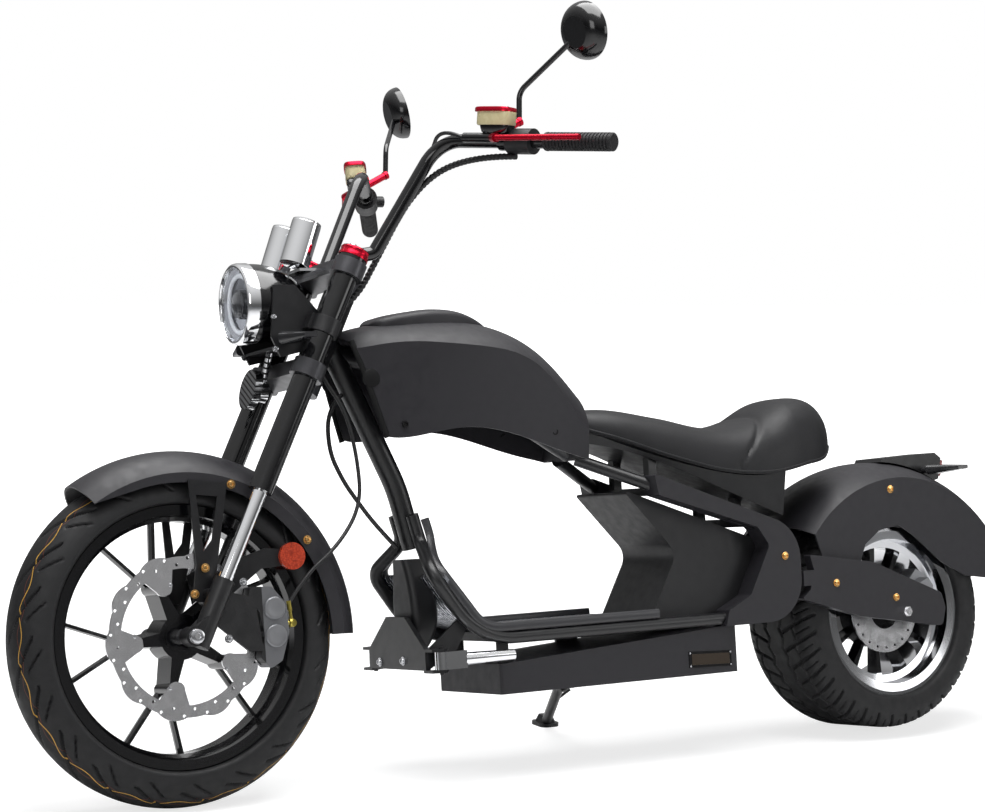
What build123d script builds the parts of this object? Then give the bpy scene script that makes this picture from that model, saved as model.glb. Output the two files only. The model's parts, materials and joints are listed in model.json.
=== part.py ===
from build123d import *
from math import asin, atan2, cos, degrees, hypot, radians, sin, sqrt, tan
import os

# Electric chopper scooter, parked on its side stand.
# Millimetres. X runs forward, Y to the rider's left, Z up.
# Every piece is drawn on an upright scooter whose rear tyre meets the ground at the origin.
# The pieces that steer are then turned about the steering axis, and all are leaned onto the stand.

os.makedirs("parts", exist_ok=True)

# Stance and steering
WHEELBASE = 1555.0
LEAN = 9.0               # degrees to the right, onto the side stand
STEER = -4.25            # degrees, bars turned slightly right
RAKE = 27.0              # degrees from upright
TRAIL = 90.0
SEAT_GAP = 0.3           # running fit between curved pieces that seat on each other

# Wheels
FRONT_TYRE_RADIUS = 296.0
FRONT_TYRE_HALF_WIDTH = 59.0
FRONT_SHOULDER = 58.0     # radius of the tread's rounded shoulder
FRONT_BEAD_RADIUS = 217.0
FRONT_RIM_HALF_WIDTH = 48.0
FRONT_RIM_INNER = 203.0
FRONT_FLANGE = 12.0
REAR_TYRE_RADIUS = 236.0
REAR_TYRE_HALF_WIDTH = 107.5
REAR_SHOULDER = 44.0
REAR_BEAD_RADIUS = 153.0
REAR_RIM_HALF_WIDTH = 95.0
REAR_FLANGE = 17.0        # height of the polished lip above the bead seat
REAR_BARREL_RADIUS = 130.0
AXLE_DIA = 15.0
AXLE_FIT = 0.05           # radial running clearance of hub on axle

# Brakes
DISC_RADIUS = 146.0
DISC_THICKNESS = 4.5
DISC_SIDE = 66.0          # middle of the front disc, left of the wheel's centre
DISC_BOLT_CIRCLE = 93.0
REAR_DISC_RADIUS = 84.0
REAR_DISC_SIDE = 66.0

# Fork, measured along the steering axis from the ground and across it
LEG_SPREAD = 98.0         # half distance between the fork legs
LEG_LEAD = 37.5           # legs stand this far ahead of the steering axis
UPPER_TUBE_DIA = 44.0
STANCHION_DIA = 27.0
CASTING_DIA = 37.0
LOWER_CLAMP_UP = 806.0
CLAMP_THICKNESS = 30.0
TOP_CLAMP_UP = 1008.0
UPPER_TUBE_END_UP = 586.0
CASTING_TOP_UP = 418.0
STEM_DIA = 30.0
STEM_FIT = 0.08
HEAD_TUBE_DIA = 58.0
HEAD_TUBE_GAP = 8.0

# Frame tubes
DOWN_TUBE_DIA = 40.0
BACKBONE_DIA = 38.0
RAIL_DIA = 24.0
RAIL_SPREAD = 112.0
RAIL_HEIGHT = 252.0
CROSS_BAR = 16.0

# Panels and covers
PANEL_WALL = 4.0
DECK_THICKNESS = 6.0
FENDER_WALL = 4.0

# Handlebar
BAR_DIA = 25.0
GRIP_DIA = 34.0
GRIP_LENGTH = 122.0

FRONT_AXLE = Vector(WHEELBASE, 0, FRONT_TYRE_RADIUS)
REAR_AXLE = Vector(0, 0, REAR_TYRE_RADIUS)
STEERING_UP = Vector(-sin(radians(RAKE)), 0, cos(radians(RAKE)))
FORK = Plane(
    origin=(WHEELBASE + TRAIL, 0, 0),
    x_dir=(cos(radians(RAKE)), 0, sin(radians(RAKE))),
    z_dir=STEERING_UP,
)
STEERING_AXIS = Axis(FORK.origin, STEERING_UP)
FRONT_WHEEL = Plane(origin=FRONT_AXLE, x_dir=(1, 0, 0), z_dir=(0, 1, 0))
REAR_WHEEL = Plane(origin=REAR_AXLE, x_dir=(1, 0, 0), z_dir=(0, 1, 0))
FRONT_SECTION = Plane(origin=FRONT_AXLE, x_dir=(0, 1, 0), z_dir=(1, 0, 0))
REAR_SECTION = Plane(origin=REAR_AXLE, x_dir=(0, 1, 0), z_dir=(1, 0, 0))
FRONT_SPIN = Axis(FRONT_AXLE, (0, 1, 0))
REAR_SPIN = Axis(REAR_AXLE, (0, 1, 0))
AXLE_IN_FORK = FORK.to_local_coords(FRONT_AXLE)


def side_view(offset=0.0):
    """Side-view sketch plane at Y = offset; its x runs forward and its y up. It faces right."""
    return Plane(origin=(0, offset, 0), x_dir=(1, 0, 0), z_dir=(0, -1, 0))


def swept_tube(points, bend, diameter):
    """Solid round tube along straight runs joined by bends of one radius."""
    with BuildPart() as tube:
        with BuildLine() as route:
            FilletPolyline(*points, radius=bend)
        with BuildSketch(Plane(origin=route.line @ 0, z_dir=route.line % 0)):
            Circle(diameter / 2)
        sweep(path=route.line)
    return tube.part


def rod(start, end, diameter):
    """Solid round rod between two points."""
    start, end = Vector(start), Vector(end)
    with BuildPart() as bar:
        with BuildSketch(Plane(origin=start, z_dir=end - start)):
            Circle(diameter / 2)
        extrude(amount=(end - start).length)
    return bar.part


def in_fork(lead, side, up):
    """Point given across and along the steering axis, as a point of the scooter."""
    return FORK.from_local_coords(Vector(lead, side, up))


def fork_plane(lead, side, up):
    """Sketch plane square to the steering axis, at a point given in the fork."""
    return Plane(origin=in_fork(lead, side, up), x_dir=FORK.x_dir, z_dir=STEERING_UP)


def tyre(section, spin, radius, half_width, shoulder, bead_radius, bead_half, flange):
    """Solid tyre: flat or round crown, rolled shoulders, walls drawn in over the rim's flanges."""
    with BuildPart() as ring:
        with BuildSketch(section):
            with BuildLine():
                Polyline(
                    (-half_width, radius),
                    (-half_width, radius - shoulder - 4),
                    (-bead_half, bead_radius + flange + 1),
                    (-bead_half, bead_radius + SEAT_GAP),
                    (bead_half, bead_radius + SEAT_GAP),
                    (bead_half, bead_radius + flange + 1),
                    (half_width, radius - shoulder - 4),
                    (half_width, radius),
                    close=True,
                )
            face = make_face()
            fillet(face.vertices().group_by(Axis.Y)[-1], radius=shoulder)
        revolve(axis=spin)
    return ring.part


# Front wheel: round-shouldered tyre, cast rim with forked spokes, petal brake disc
front_tyre = tyre(
    FRONT_SECTION, FRONT_SPIN, FRONT_TYRE_RADIUS, FRONT_TYRE_HALF_WIDTH,
    FRONT_SHOULDER, FRONT_BEAD_RADIUS, FRONT_RIM_HALF_WIDTH - 6 - SEAT_GAP, FRONT_FLANGE,
)

FRONT_HUB_RADIUS = 31.0
FRONT_HUB_HALF = 50.0
ARM_COUNT = 5
ARM_START = 4.0           # degrees, first hub arm below straight ahead
SPOKE_SPLIT_RADIUS = 84.0
SPOKE_SPREAD = 14.5       # degrees from the arm's line, measured at the rim
SPOKE_WIDTH = 9.0
SPOKE_DEPTH = 11.0
LUG_RADIUS = 13.0

with BuildPart() as front_rim:
    with BuildSketch(FRONT_SECTION):
        with BuildLine():
            half = FRONT_RIM_HALF_WIDTH
            Polyline(
                (-half, FRONT_BEAD_RADIUS + FRONT_FLANGE), (-half + 5, FRONT_BEAD_RADIUS + FRONT_FLANGE),
                (-half + 6, FRONT_BEAD_RADIUS), (-half + 20, FRONT_BEAD_RADIUS - 2),
                (-half + 28, FRONT_RIM_INNER + 5), (half - 28, FRONT_RIM_INNER + 5),
                (half - 20, FRONT_BEAD_RADIUS - 2), (half - 6, FRONT_BEAD_RADIUS),
                (half - 5, FRONT_BEAD_RADIUS + FRONT_FLANGE), (half, FRONT_BEAD_RADIUS + FRONT_FLANGE),
                (half - 1, FRONT_BEAD_RADIUS - 5), (half - 20, FRONT_BEAD_RADIUS - 8),
                (half - 26, FRONT_RIM_INNER - 1), (-half + 26, FRONT_RIM_INNER - 1),
                (-half + 20, FRONT_BEAD_RADIUS - 8), (-half + 1, FRONT_BEAD_RADIUS - 5),
                close=True,
            )
        make_face()
    revolve(axis=FRONT_SPIN)
    with BuildSketch(FRONT_WHEEL):
        spread = radians(SPOKE_SPREAD)
        reach_x = FRONT_RIM_INNER * cos(spread)
        reach_y = FRONT_RIM_INNER * sin(spread)
        spoke_run = hypot(reach_x - SPOKE_SPLIT_RADIUS, reach_y)
        spoke_tilt = degrees(atan2(reach_y, reach_x - SPOKE_SPLIT_RADIUS))
        middle_x = (reach_x + SPOKE_SPLIT_RADIUS) / 2
        with PolarLocations(0, ARM_COUNT, start_angle=ARM_START):
            with Locations(
                Pos(middle_x, reach_y / 2) * Rot(0, 0, spoke_tilt),
                Pos(middle_x, -reach_y / 2) * Rot(0, 0, -spoke_tilt),
            ):
                Rectangle(spoke_run + 4, SPOKE_WIDTH)
    extrude(amount=SPOKE_DEPTH, taper=8, both=True)
    with BuildSketch(FRONT_WHEEL.offset(-SPOKE_DEPTH)):
        Circle(FRONT_HUB_RADIUS + 12)
        with PolarLocations(0, ARM_COUNT, start_angle=ARM_START):
            with Locations((DISC_BOLT_CIRCLE / 2, 0)):
                Trapezoid(38, DISC_BOLT_CIRCLE, 84, rotation=-90)
    extrude(amount=SPOKE_DEPTH + DISC_SIDE - 18, taper=3)
    with BuildSketch(FRONT_WHEEL.offset(-SPOKE_DEPTH)):
        with PolarLocations(DISC_BOLT_CIRCLE, ARM_COUNT, start_angle=ARM_START):
            Circle(LUG_RADIUS)
    extrude(amount=SPOKE_DEPTH + DISC_SIDE - DISC_THICKNESS / 2)
    with BuildSketch(FRONT_WHEEL.offset(-FRONT_HUB_HALF)):
        Circle(FRONT_HUB_RADIUS)
    extrude(amount=2 * FRONT_HUB_HALF)
    with BuildSketch(FRONT_WHEEL.offset(-FRONT_HUB_HALF)):
        Circle(AXLE_DIA / 2 + AXLE_FIT)
    extrude(amount=2 * FRONT_HUB_HALF, mode=Mode.SUBTRACT)

HOLE_DIA = 6.0
PETALS = 10
PETAL_RADIUS = 42.0
DISC_INNER = 118.0
DISC_HOLES = 20

with BuildPart() as front_disc:
    with BuildSketch(FRONT_WHEEL.offset(DISC_SIDE - DISC_THICKNESS / 2)):
        Circle(DISC_RADIUS - 7)
        with PolarLocations(DISC_RADIUS - PETAL_RADIUS, PETALS, start_angle=ARM_START):
            Circle(PETAL_RADIUS)
        Circle(DISC_INNER, mode=Mode.SUBTRACT)
        with PolarLocations(0, ARM_COUNT, start_angle=ARM_START):
            with Locations((DISC_BOLT_CIRCLE + 15, 0)):
                Trapezoid(66, 34, 62, rotation=90)
        with PolarLocations(DISC_BOLT_CIRCLE, ARM_COUNT, start_angle=ARM_START):
            Circle(LUG_RADIUS + 2)
        Circle(DISC_BOLT_CIRCLE - 14, mode=Mode.SUBTRACT)
        for radius, start in [(DISC_INNER + 7, 0), (DISC_RADIUS - 10, 180 / DISC_HOLES)]:
            with PolarLocations(radius, DISC_HOLES, start_angle=ARM_START + start):
                Circle(HOLE_DIA / 2, mode=Mode.SUBTRACT)
    extrude(amount=DISC_THICKNESS)

# Rear wheel: wide tyre, polished deep rim with turbine blades round a hub motor
rear_tyre = tyre(
    REAR_SECTION, REAR_SPIN, REAR_TYRE_RADIUS, REAR_TYRE_HALF_WIDTH,
    REAR_SHOULDER, REAR_BEAD_RADIUS, REAR_RIM_HALF_WIDTH - 4 - SEAT_GAP, REAR_FLANGE,
)

BLADE_COUNT = 12
MOTOR_RADIUS = 60.0
MOTOR_HALF = 54.0
BLADE_IN = 14.0           # blades reach from here to BLADE_OUT, left of the wheel's centre
BLADE_OUT = 40.0

with BuildPart() as rear_rim:
    with BuildSketch(REAR_SECTION):
        with BuildLine():
            edge = REAR_RIM_HALF_WIDTH
            seat_r = REAR_BEAD_RADIUS
            Polyline(
                (-edge, seat_r + REAR_FLANGE), (-edge + 4, seat_r + REAR_FLANGE),
                (-edge + 4, seat_r), (-edge + 30, seat_r - 2), (-edge + 52, REAR_BARREL_RADIUS + 6),
                (edge - 52, REAR_BARREL_RADIUS + 6), (edge - 30, seat_r - 2), (edge - 4, seat_r),
                (edge - 4, seat_r + REAR_FLANGE), (edge, seat_r + REAR_FLANGE),
                (edge, seat_r + 10), (edge - 2, seat_r - 6),
                (edge - 31, seat_r - 9), (edge - 34, REAR_BARREL_RADIUS),
                (-edge + 34, REAR_BARREL_RADIUS), (-edge + 31, seat_r - 9),
                (-edge + 2, seat_r - 6), (-edge, seat_r + 10),
                close=True,
            )
        make_face()
    revolve(axis=REAR_SPIN)
    with BuildSketch(REAR_WHEEL.offset(-MOTOR_HALF)):
        Circle(MOTOR_RADIUS)
    extrude(amount=2 * MOTOR_HALF)
    with BuildSketch(REAR_WHEEL.offset(BLADE_IN)):
        blade_run = REAR_BARREL_RADIUS - MOTOR_RADIUS + 8
        with PolarLocations((REAR_BARREL_RADIUS + MOTOR_RADIUS) / 2, BLADE_COUNT):
            Trapezoid(19, blade_run, 86, rotation=90)
        Circle(MOTOR_RADIUS + 14)
    extrude(amount=BLADE_OUT - BLADE_IN, taper=5)
    with BuildSketch(REAR_WHEEL.offset(-MOTOR_HALF)):
        Circle(AXLE_DIA / 2 + AXLE_FIT)
    extrude(amount=2 * MOTOR_HALF, mode=Mode.SUBTRACT)

with BuildPart() as rear_disc:
    with BuildSketch(REAR_WHEEL.offset(REAR_DISC_SIDE - DISC_THICKNESS / 2)):
        Circle(REAR_DISC_RADIUS)
        Circle(MOTOR_RADIUS - 24, mode=Mode.SUBTRACT)
        with PolarLocations(REAR_DISC_RADIUS - 10, DISC_HOLES):
            Circle(HOLE_DIA / 2, mode=Mode.SUBTRACT)
    extrude(amount=DISC_THICKNESS)
    with BuildSketch(REAR_WHEEL.offset(MOTOR_HALF)):
        Circle(MOTOR_RADIUS - 6)
        Circle(MOTOR_RADIUS - 24, mode=Mode.SUBTRACT)
    extrude(amount=REAR_DISC_SIDE - DISC_THICKNESS / 2 - MOTOR_HALF)

# Fork: two clamps and the stem between them, tubes, bright stanchions, lower castings
with BuildPart() as triple_clamps:
    for up in (LOWER_CLAMP_UP, TOP_CLAMP_UP):
        with BuildSketch(FORK.offset(up)):
            Circle(HEAD_TUBE_DIA / 2 + 2)
            with Locations((LEG_LEAD, 0)):
                RectangleRounded(UPPER_TUBE_DIA, 2 * LEG_SPREAD, 8)
            with Locations((LEG_LEAD / 2, 0)):
                Rectangle(LEG_LEAD, HEAD_TUBE_DIA)
            with Locations((LEG_LEAD, LEG_SPREAD), (LEG_LEAD, -LEG_SPREAD)):
                Circle(UPPER_TUBE_DIA / 2 + 8)
        extrude(amount=CLAMP_THICKNESS)
    with BuildSketch(FORK.offset(LOWER_CLAMP_UP)):
        Circle(STEM_DIA / 2)
    extrude(amount=TOP_CLAMP_UP - LOWER_CLAMP_UP)
    with BuildSketch(FORK.offset(LOWER_CLAMP_UP - 1)):
        with Locations((LEG_LEAD, LEG_SPREAD), (LEG_LEAD, -LEG_SPREAD)):
            Circle(UPPER_TUBE_DIA / 2)
    extrude(amount=TOP_CLAMP_UP + CLAMP_THICKNESS - LOWER_CLAMP_UP + 2, mode=Mode.SUBTRACT)

with BuildPart() as fork_tubes:
    with BuildSketch(FORK.offset(UPPER_TUBE_END_UP)):
        with Locations((LEG_LEAD, LEG_SPREAD), (LEG_LEAD, -LEG_SPREAD)):
            Circle(UPPER_TUBE_DIA / 2)
            Circle(STANCHION_DIA / 2, mode=Mode.SUBTRACT)
    extrude(amount=40)
    with BuildSketch(FORK.offset(UPPER_TUBE_END_UP + 40)):
        with Locations((LEG_LEAD, LEG_SPREAD), (LEG_LEAD, -LEG_SPREAD)):
            Circle(UPPER_TUBE_DIA / 2)
    extrude(amount=TOP_CLAMP_UP + CLAMP_THICKNESS - UPPER_TUBE_END_UP - 40)

with BuildPart() as fork_stanchions:
    with BuildSketch(FORK.offset(CASTING_TOP_UP)):
        with Locations((LEG_LEAD, LEG_SPREAD), (LEG_LEAD, -LEG_SPREAD)):
            Circle(STANCHION_DIA / 2)
    extrude(amount=UPPER_TUBE_END_UP + 40 - CASTING_TOP_UP)

AXLE_BOSS_DIA = 34.0
with BuildPart() as fork_castings:
    with BuildSketch(fork_plane(LEG_LEAD, 0, AXLE_IN_FORK.Z - 12)):
        with Locations((0, LEG_SPREAD), (0, -LEG_SPREAD)):
            Circle(CASTING_DIA / 2)
    extrude(amount=CASTING_TOP_UP - AXLE_IN_FORK.Z + 12)
    for side in (LEG_SPREAD, -LEG_SPREAD):
        with BuildSketch(Plane(origin=(0, side, 0), x_dir=(1, 0, 0), z_dir=(0, -1, 0))):
            leg_low = in_fork(LEG_LEAD, 0, AXLE_IN_FORK.Z)
            leg_high = in_fork(LEG_LEAD, 0, AXLE_IN_FORK.Z + 46)
            with Locations((WHEELBASE, FRONT_TYRE_RADIUS)):
                Circle(AXLE_BOSS_DIA / 2)
            with BuildLine():
                Polyline(
                    (WHEELBASE + AXLE_BOSS_DIA / 2, FRONT_TYRE_RADIUS),
                    (leg_high.X + 12, leg_high.Z), (leg_high.X, leg_high.Z),
                    (leg_low.X, leg_low.Z - 8), (WHEELBASE, FRONT_TYRE_RADIUS - AXLE_BOSS_DIA / 2),
                    close=True,
                )
            make_face()
        extrude(amount=CASTING_DIA / 2 - 1, both=True)
    with BuildSketch(FRONT_WHEEL.offset(-2 * LEG_SPREAD)):
        Circle(AXLE_DIA / 2)
    extrude(amount=4 * LEG_SPREAD, mode=Mode.SUBTRACT)

SPACER_DIA = 26.0
AXLE_HEAD = 8.0
with BuildPart() as front_axle:
    with BuildSketch(FRONT_WHEEL.offset(-LEG_SPREAD - CASTING_DIA / 2 - 6)):
        Circle(AXLE_DIA / 2)
    extrude(amount=2 * LEG_SPREAD + CASTING_DIA + 12)
    for inner in (FRONT_HUB_HALF + 1, -LEG_SPREAD + CASTING_DIA / 2):
        with BuildSketch(FRONT_WHEEL.offset(inner)):
            Circle(SPACER_DIA / 2)
        extrude(amount=LEG_SPREAD - CASTING_DIA / 2 - FRONT_HUB_HALF - 1)
    for outer in (LEG_SPREAD + CASTING_DIA / 2 - 1, -LEG_SPREAD - CASTING_DIA / 2 + 1 - AXLE_HEAD):
        with BuildSketch(FRONT_WHEEL.offset(outer)):
            RegularPolygon(AXLE_DIA * 0.75, 6)
        extrude(amount=AXLE_HEAD)

# Frame: steering head, down tube and backbone in one weldment
HEAD_LOW = LOWER_CLAMP_UP + CLAMP_THICKNESS + HEAD_TUBE_GAP
HEAD_HIGH = TOP_CLAMP_UP - HEAD_TUBE_GAP
DOWN_TUBE_FOOT = (1063, 0, 425)
BACKBONE_REAR = (706, 0, 588)
TANK_BARS = [(1040, 700), (860, 672)]      # x, z of the two bars that carry the tank cover
TANK_BAR_HALF = 95.2

HEAD_MIDDLE = (HEAD_LOW + HEAD_HIGH) / 2
BACKBONE_DROP = 32.0      # backbone meets the head this far below its middle

down_tube = swept_tube([in_fork(0, 0, HEAD_MIDDLE), (1092, 0, 537), DOWN_TUBE_FOOT], 300, DOWN_TUBE_DIA)
backbone = swept_tube(
    [in_fork(0, 0, HEAD_MIDDLE - BACKBONE_DROP), (960, 0, 742), BACKBONE_REAR], 260, BACKBONE_DIA,
)
with BuildPart() as frame_spine:
    with BuildSketch(FORK.offset(HEAD_LOW)):
        Circle(HEAD_TUBE_DIA / 2)
    extrude(amount=HEAD_HIGH - HEAD_LOW)
    add(down_tube)
    add(backbone)
    for x, z in TANK_BARS:
        with BuildSketch(Plane(origin=(x, 0, z), x_dir=(1, 0, 0), z_dir=(0, 1, 0))):
            Rectangle(26, 8)
        extrude(amount=TANK_BAR_HALF, both=True)
        with BuildSketch(Plane.XY.offset(z)):
            with Locations((x, 0)):
                Rectangle(22, 10)
        extrude(amount=70)
    with BuildSketch(FORK.offset(HEAD_LOW)):
        Circle(STEM_DIA / 2 + STEM_FIT)
    extrude(amount=HEAD_HIGH - HEAD_LOW, mode=Mode.SUBTRACT)

# Lower rails: from the down tube's foot, back under the deck, round the rear and up to the tank
RAIL_INSET = (DOWN_TUBE_DIA + RAIL_DIA) / 2 + SEAT_GAP
RAIL_TOP_INSET = (BACKBONE_DIA + RAIL_DIA) / 2 + SEAT_GAP
LOOP_BACK = 274.0
LOOP_TOP = 404.0
DECK_FRONT = 1000.0       # where the rails' run under the deck would meet their front slope
DECK_SLOPE_TOP = (1090.0, 378.0)
SEAT_RAIL_END = (712.0, 574.0)


def rail_points(side):
    """Corner points of one rail, on the side given by +1 for left or -1 for right."""
    spread = side * RAIL_SPREAD
    return [
        (1080, side * RAIL_INSET, 486), (1066, side * RAIL_INSET, 436),
        (DECK_SLOPE_TOP[0], spread, DECK_SLOPE_TOP[1]), (DECK_FRONT, spread, RAIL_HEIGHT),
        (LOOP_BACK, spread, RAIL_HEIGHT), (LOOP_BACK, spread, LOOP_TOP),
        (560, spread, LOOP_TOP + 101), (SEAT_RAIL_END[0], side * RAIL_TOP_INSET, SEAT_RAIL_END[1]),
    ]


RAIL_BENDS = [30, 36, 150, 74, 74, 120]

rail_left = swept_tube(rail_points(1), RAIL_BENDS, RAIL_DIA)
rail_right = swept_tube(rail_points(-1), RAIL_BENDS, RAIL_DIA)

# Cross bars between the rails, coped to them, with the hangers of the box and the seat posts
STRAP = 5.0
BOX_HALF = 111.0
BOX_FRONT, BOX_REAR = 955.0, 415.0
BOX_BOTTOM = 148.0
BOX_TOP_FRONT = 204.0
BOX_TOP_REAR = RAIL_HEIGHT - RAIL_DIA / 2 - SEAT_GAP
CROSS_BARS = [(930, RAIL_HEIGHT), (640, RAIL_HEIGHT), (400, RAIL_HEIGHT)]   # x, z
PIVOT_X, PIVOT_Z = 290.0, 318.0          # centre of the swingarm's pivot tube
PIVOT_HALF = 84.0
PIVOT_LUG = 30.0
SEAT_POSTS = [(560, LOOP_TOP + 101, 64), (360, LOOP_TOP + 30, 52)]          # x, z, height

with BuildPart() as cross_members:
    for x, z in CROSS_BARS:
        with BuildSketch(side_view()):
            with Locations((x, z)):
                Rectangle(30, CROSS_BAR)
        extrude(amount=RAIL_SPREAD, both=True)
    for x, z, height in SEAT_POSTS:
        with BuildSketch(side_view()):
            with Locations((x, z)):
                Rectangle(22, CROSS_BAR)
        extrude(amount=RAIL_SPREAD, both=True)
        with BuildSketch(Plane.XY.offset(z)):
            with Locations((x, 60), (x, -60)):
                Rectangle(18, 18)
        extrude(amount=height)
    with BuildSketch(Plane.XY.offset(BOX_TOP_FRONT - 2)):
        with Locations((930, 80), (930, -80)):
            Rectangle(24, STRAP)
    extrude(amount=RAIL_HEIGHT - BOX_TOP_FRONT + 2)
    with BuildSketch(Plane.XY.offset(PIVOT_Z - PIVOT_LUG / 2)):
        for side in (1, -1):
            with Locations((PIVOT_X - 6, side * (PIVOT_HALF + SEAT_GAP + 14))):
                Rectangle(32, 28)
    extrude(amount=PIVOT_LUG)
    add(rail_left, mode=Mode.SUBTRACT)
    add(rail_right, mode=Mode.SUBTRACT)

# Deck: one bent sheet lying on the rails, turned up in front
deck_lift = RAIL_DIA / 2 + SEAT_GAP
slope_x = DECK_SLOPE_TOP[0] - DECK_FRONT
slope_z = DECK_SLOPE_TOP[1] - RAIL_HEIGHT
slope_length = hypot(slope_x, slope_z)
slope_turn = atan2(slope_z, slope_x)


def deck_line(gap, x_rear, top_cut):
    """Side-view polyline a given distance above the rails' centre line."""
    corner = DECK_FRONT - gap * tan(slope_turn / 2)
    run = slope_length - top_cut
    return [
        (x_rear, RAIL_HEIGHT + gap), (corner, RAIL_HEIGHT + gap),
        (corner + run * cos(slope_turn), RAIL_HEIGHT + gap + run * sin(slope_turn)),
    ]


DECK_REAR = 598.0         # just ahead of the panel under the seat
DECK_CUT = 26.0            # the deck ends this far short of the slope's top
with BuildPart() as floorboard:
    with BuildSketch(side_view()):
        with BuildLine():
            lower = FilletPolyline(
                *deck_line(deck_lift, DECK_REAR, DECK_CUT), radius=150 - deck_lift,
            )
            upper = FilletPolyline(
                *deck_line(deck_lift + DECK_THICKNESS, DECK_REAR, DECK_CUT),
                radius=150 - deck_lift - DECK_THICKNESS,
            )
            Line(lower @ 0, upper @ 0)
            Line(lower @ 1, upper @ 1)
        make_face()
    extrude(amount=RAIL_SPREAD + RAIL_DIA / 4, both=True)

# Peg bracket across the foot of the frame, and the moulded shroud over the joint
PLATE_X = 1104.0
PLATE_HALF = 104.0
PLATE_LOW, PLATE_SHOULDER, PLATE_TOP = 204.0, 240.0, 300.0
PEG_PIN_X, PEG_PIN_Y, PEG_Z = 1086.0, 122.0, 221.0
PEG_PIN_DIA = 8.0
PEG_BLOCK = 32.0
PIN_FIT = 0.05
TAB = 5.0
with BuildPart() as peg_bracket:
    with BuildSketch(Plane(origin=(PLATE_X, 0, 0), x_dir=(0, 1, 0), z_dir=(1, 0, 0))):
        with BuildLine():
            Polyline(
                (-PLATE_HALF, PLATE_LOW), (PLATE_HALF, PLATE_LOW), (PLATE_HALF, PLATE_SHOULDER),
                (34, PLATE_TOP), (-34, PLATE_TOP), (-PLATE_HALF, PLATE_SHOULDER), close=True,
            )
        make_face()
    extrude(amount=TAB, both=True)
    for low in (PEG_Z + PEG_BLOCK / 2 + 0.5, PEG_Z - PEG_BLOCK / 2 - 0.5 - TAB):
        with BuildSketch(Plane.XY.offset(low)):
            for side in (1, -1):
                with BuildLine():
                    Polyline(
                        (PLATE_X + TAB, side * (PLATE_HALF - 8)),
                        (PLATE_X + TAB, side * (PEG_PIN_Y + 6)), (PEG_PIN_X, side * (PEG_PIN_Y + 14)),
                        (PEG_PIN_X - 12, side * (PEG_PIN_Y + 4)),
                        (PEG_PIN_X - 12, side * (PEG_PIN_Y - 8)), (PLATE_X, side * (PLATE_HALF - 8)),
                        close=True,
                    )
                make_face()
        extrude(amount=TAB)
    with BuildSketch(Plane.XY.offset(PEG_Z - PEG_BLOCK / 2 - TAB - 4)):
        with Locations((PEG_PIN_X, PEG_PIN_Y), (PEG_PIN_X, -PEG_PIN_Y)):
            Circle(PEG_PIN_DIA / 2)
    extrude(amount=PEG_BLOCK + 2 * TAB + 8)
    for side in (RAIL_SPREAD - 10, 10 - RAIL_SPREAD):
        with BuildSketch(side_view(side)):
            with BuildLine():
                Polyline(
                    (PLATE_X, PLATE_LOW), (PLATE_X, PLATE_SHOULDER), (1030, 298),
                    (1012, 285), (1040, 240), close=True,
                )
            make_face()
        extrude(amount=TAB / 2, both=True)
    add(rail_left, mode=Mode.SUBTRACT)
    add(rail_right, mode=Mode.SUBTRACT)

with BuildPart() as foot_shroud:
    for z, x, depth, width in [(238, 1066, 30, 40), (292, 1064, 54, 82), (340, 1066, 54, 78), (404, 1074, 50, 50)]:
        with BuildSketch(Plane.XY.offset(z)):
            with Locations((x, 0)):
                RectangleRounded(depth, width, 13)
    loft()
    add(frame_spine.part, mode=Mode.SUBTRACT)
    add(rail_left, mode=Mode.SUBTRACT)
    add(rail_right, mode=Mode.SUBTRACT)
    add(floorboard.part, mode=Mode.SUBTRACT)

# Battery box: sheet-metal tray hung under the rails, wedge-shaped towards the front
with BuildPart() as battery_box:
    with BuildSketch(side_view()):
        with BuildLine():
            Polyline(
                (BOX_REAR, BOX_BOTTOM), (BOX_FRONT, BOX_BOTTOM), (BOX_FRONT, BOX_TOP_FRONT),
                (905, BOX_TOP_FRONT + 3 - SEAT_GAP), (BOX_REAR, BOX_TOP_REAR), close=True,
            )
        make_face()
    extrude(amount=BOX_HALF, both=True)
    fillet(battery_box.edges().filter_by(Axis.Z).group_by(Axis.X)[-1], radius=5)
    add(cross_members.part, mode=Mode.SUBTRACT)

# Tank cover: lofted shell with a crease along the side, open below
TANK_LOFT = [
    # x, bottom z, bottom half width, crease z, crease half width, top z
    (1208, 742, 62, 797, 64, 812),
    (1150, 630, 82, 798, 90, 836),
    (1040, 637, 97, 798, 106, 846),
    (930, 636, 99, 787, 108, 841),
    (850, 614, 96, 764, 105, 819),
    (770, 588, 88, 693, 96, 768),
    (712, 572, 78, 628, 84, 708),
]


def tank_section(x, low, low_half, crease, crease_half, top):
    """One cross-section of the tank cover, on a plane square to the scooter's length."""
    with BuildSketch(Plane(origin=(x, 0, 0), x_dir=(0, 1, 0), z_dir=(1, 0, 0))) as section:
        with BuildLine():
            Polyline(
                (-crease_half, crease), (-low_half, low), (low_half, low), (crease_half, crease),
            )
            ThreePointArc((-crease_half, crease), (0, top), (crease_half, crease))
        make_face()
    return section.sketch


with BuildPart() as tank_solid:
    for row in TANK_LOFT:
        add(tank_section(*row))
    loft()

with BuildPart() as tank_hollow:
    for x, low, low_half, crease, crease_half, top in TANK_LOFT:
        inset = PANEL_WALL
        shift = 4 if x == TANK_LOFT[0][0] else inset if x == TANK_LOFT[-1][0] else 0
        add(tank_section(
            x + shift, low - 20, low_half - inset, crease - inset / 2, crease_half - inset,
            top - inset,
        ))
    loft()

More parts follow.
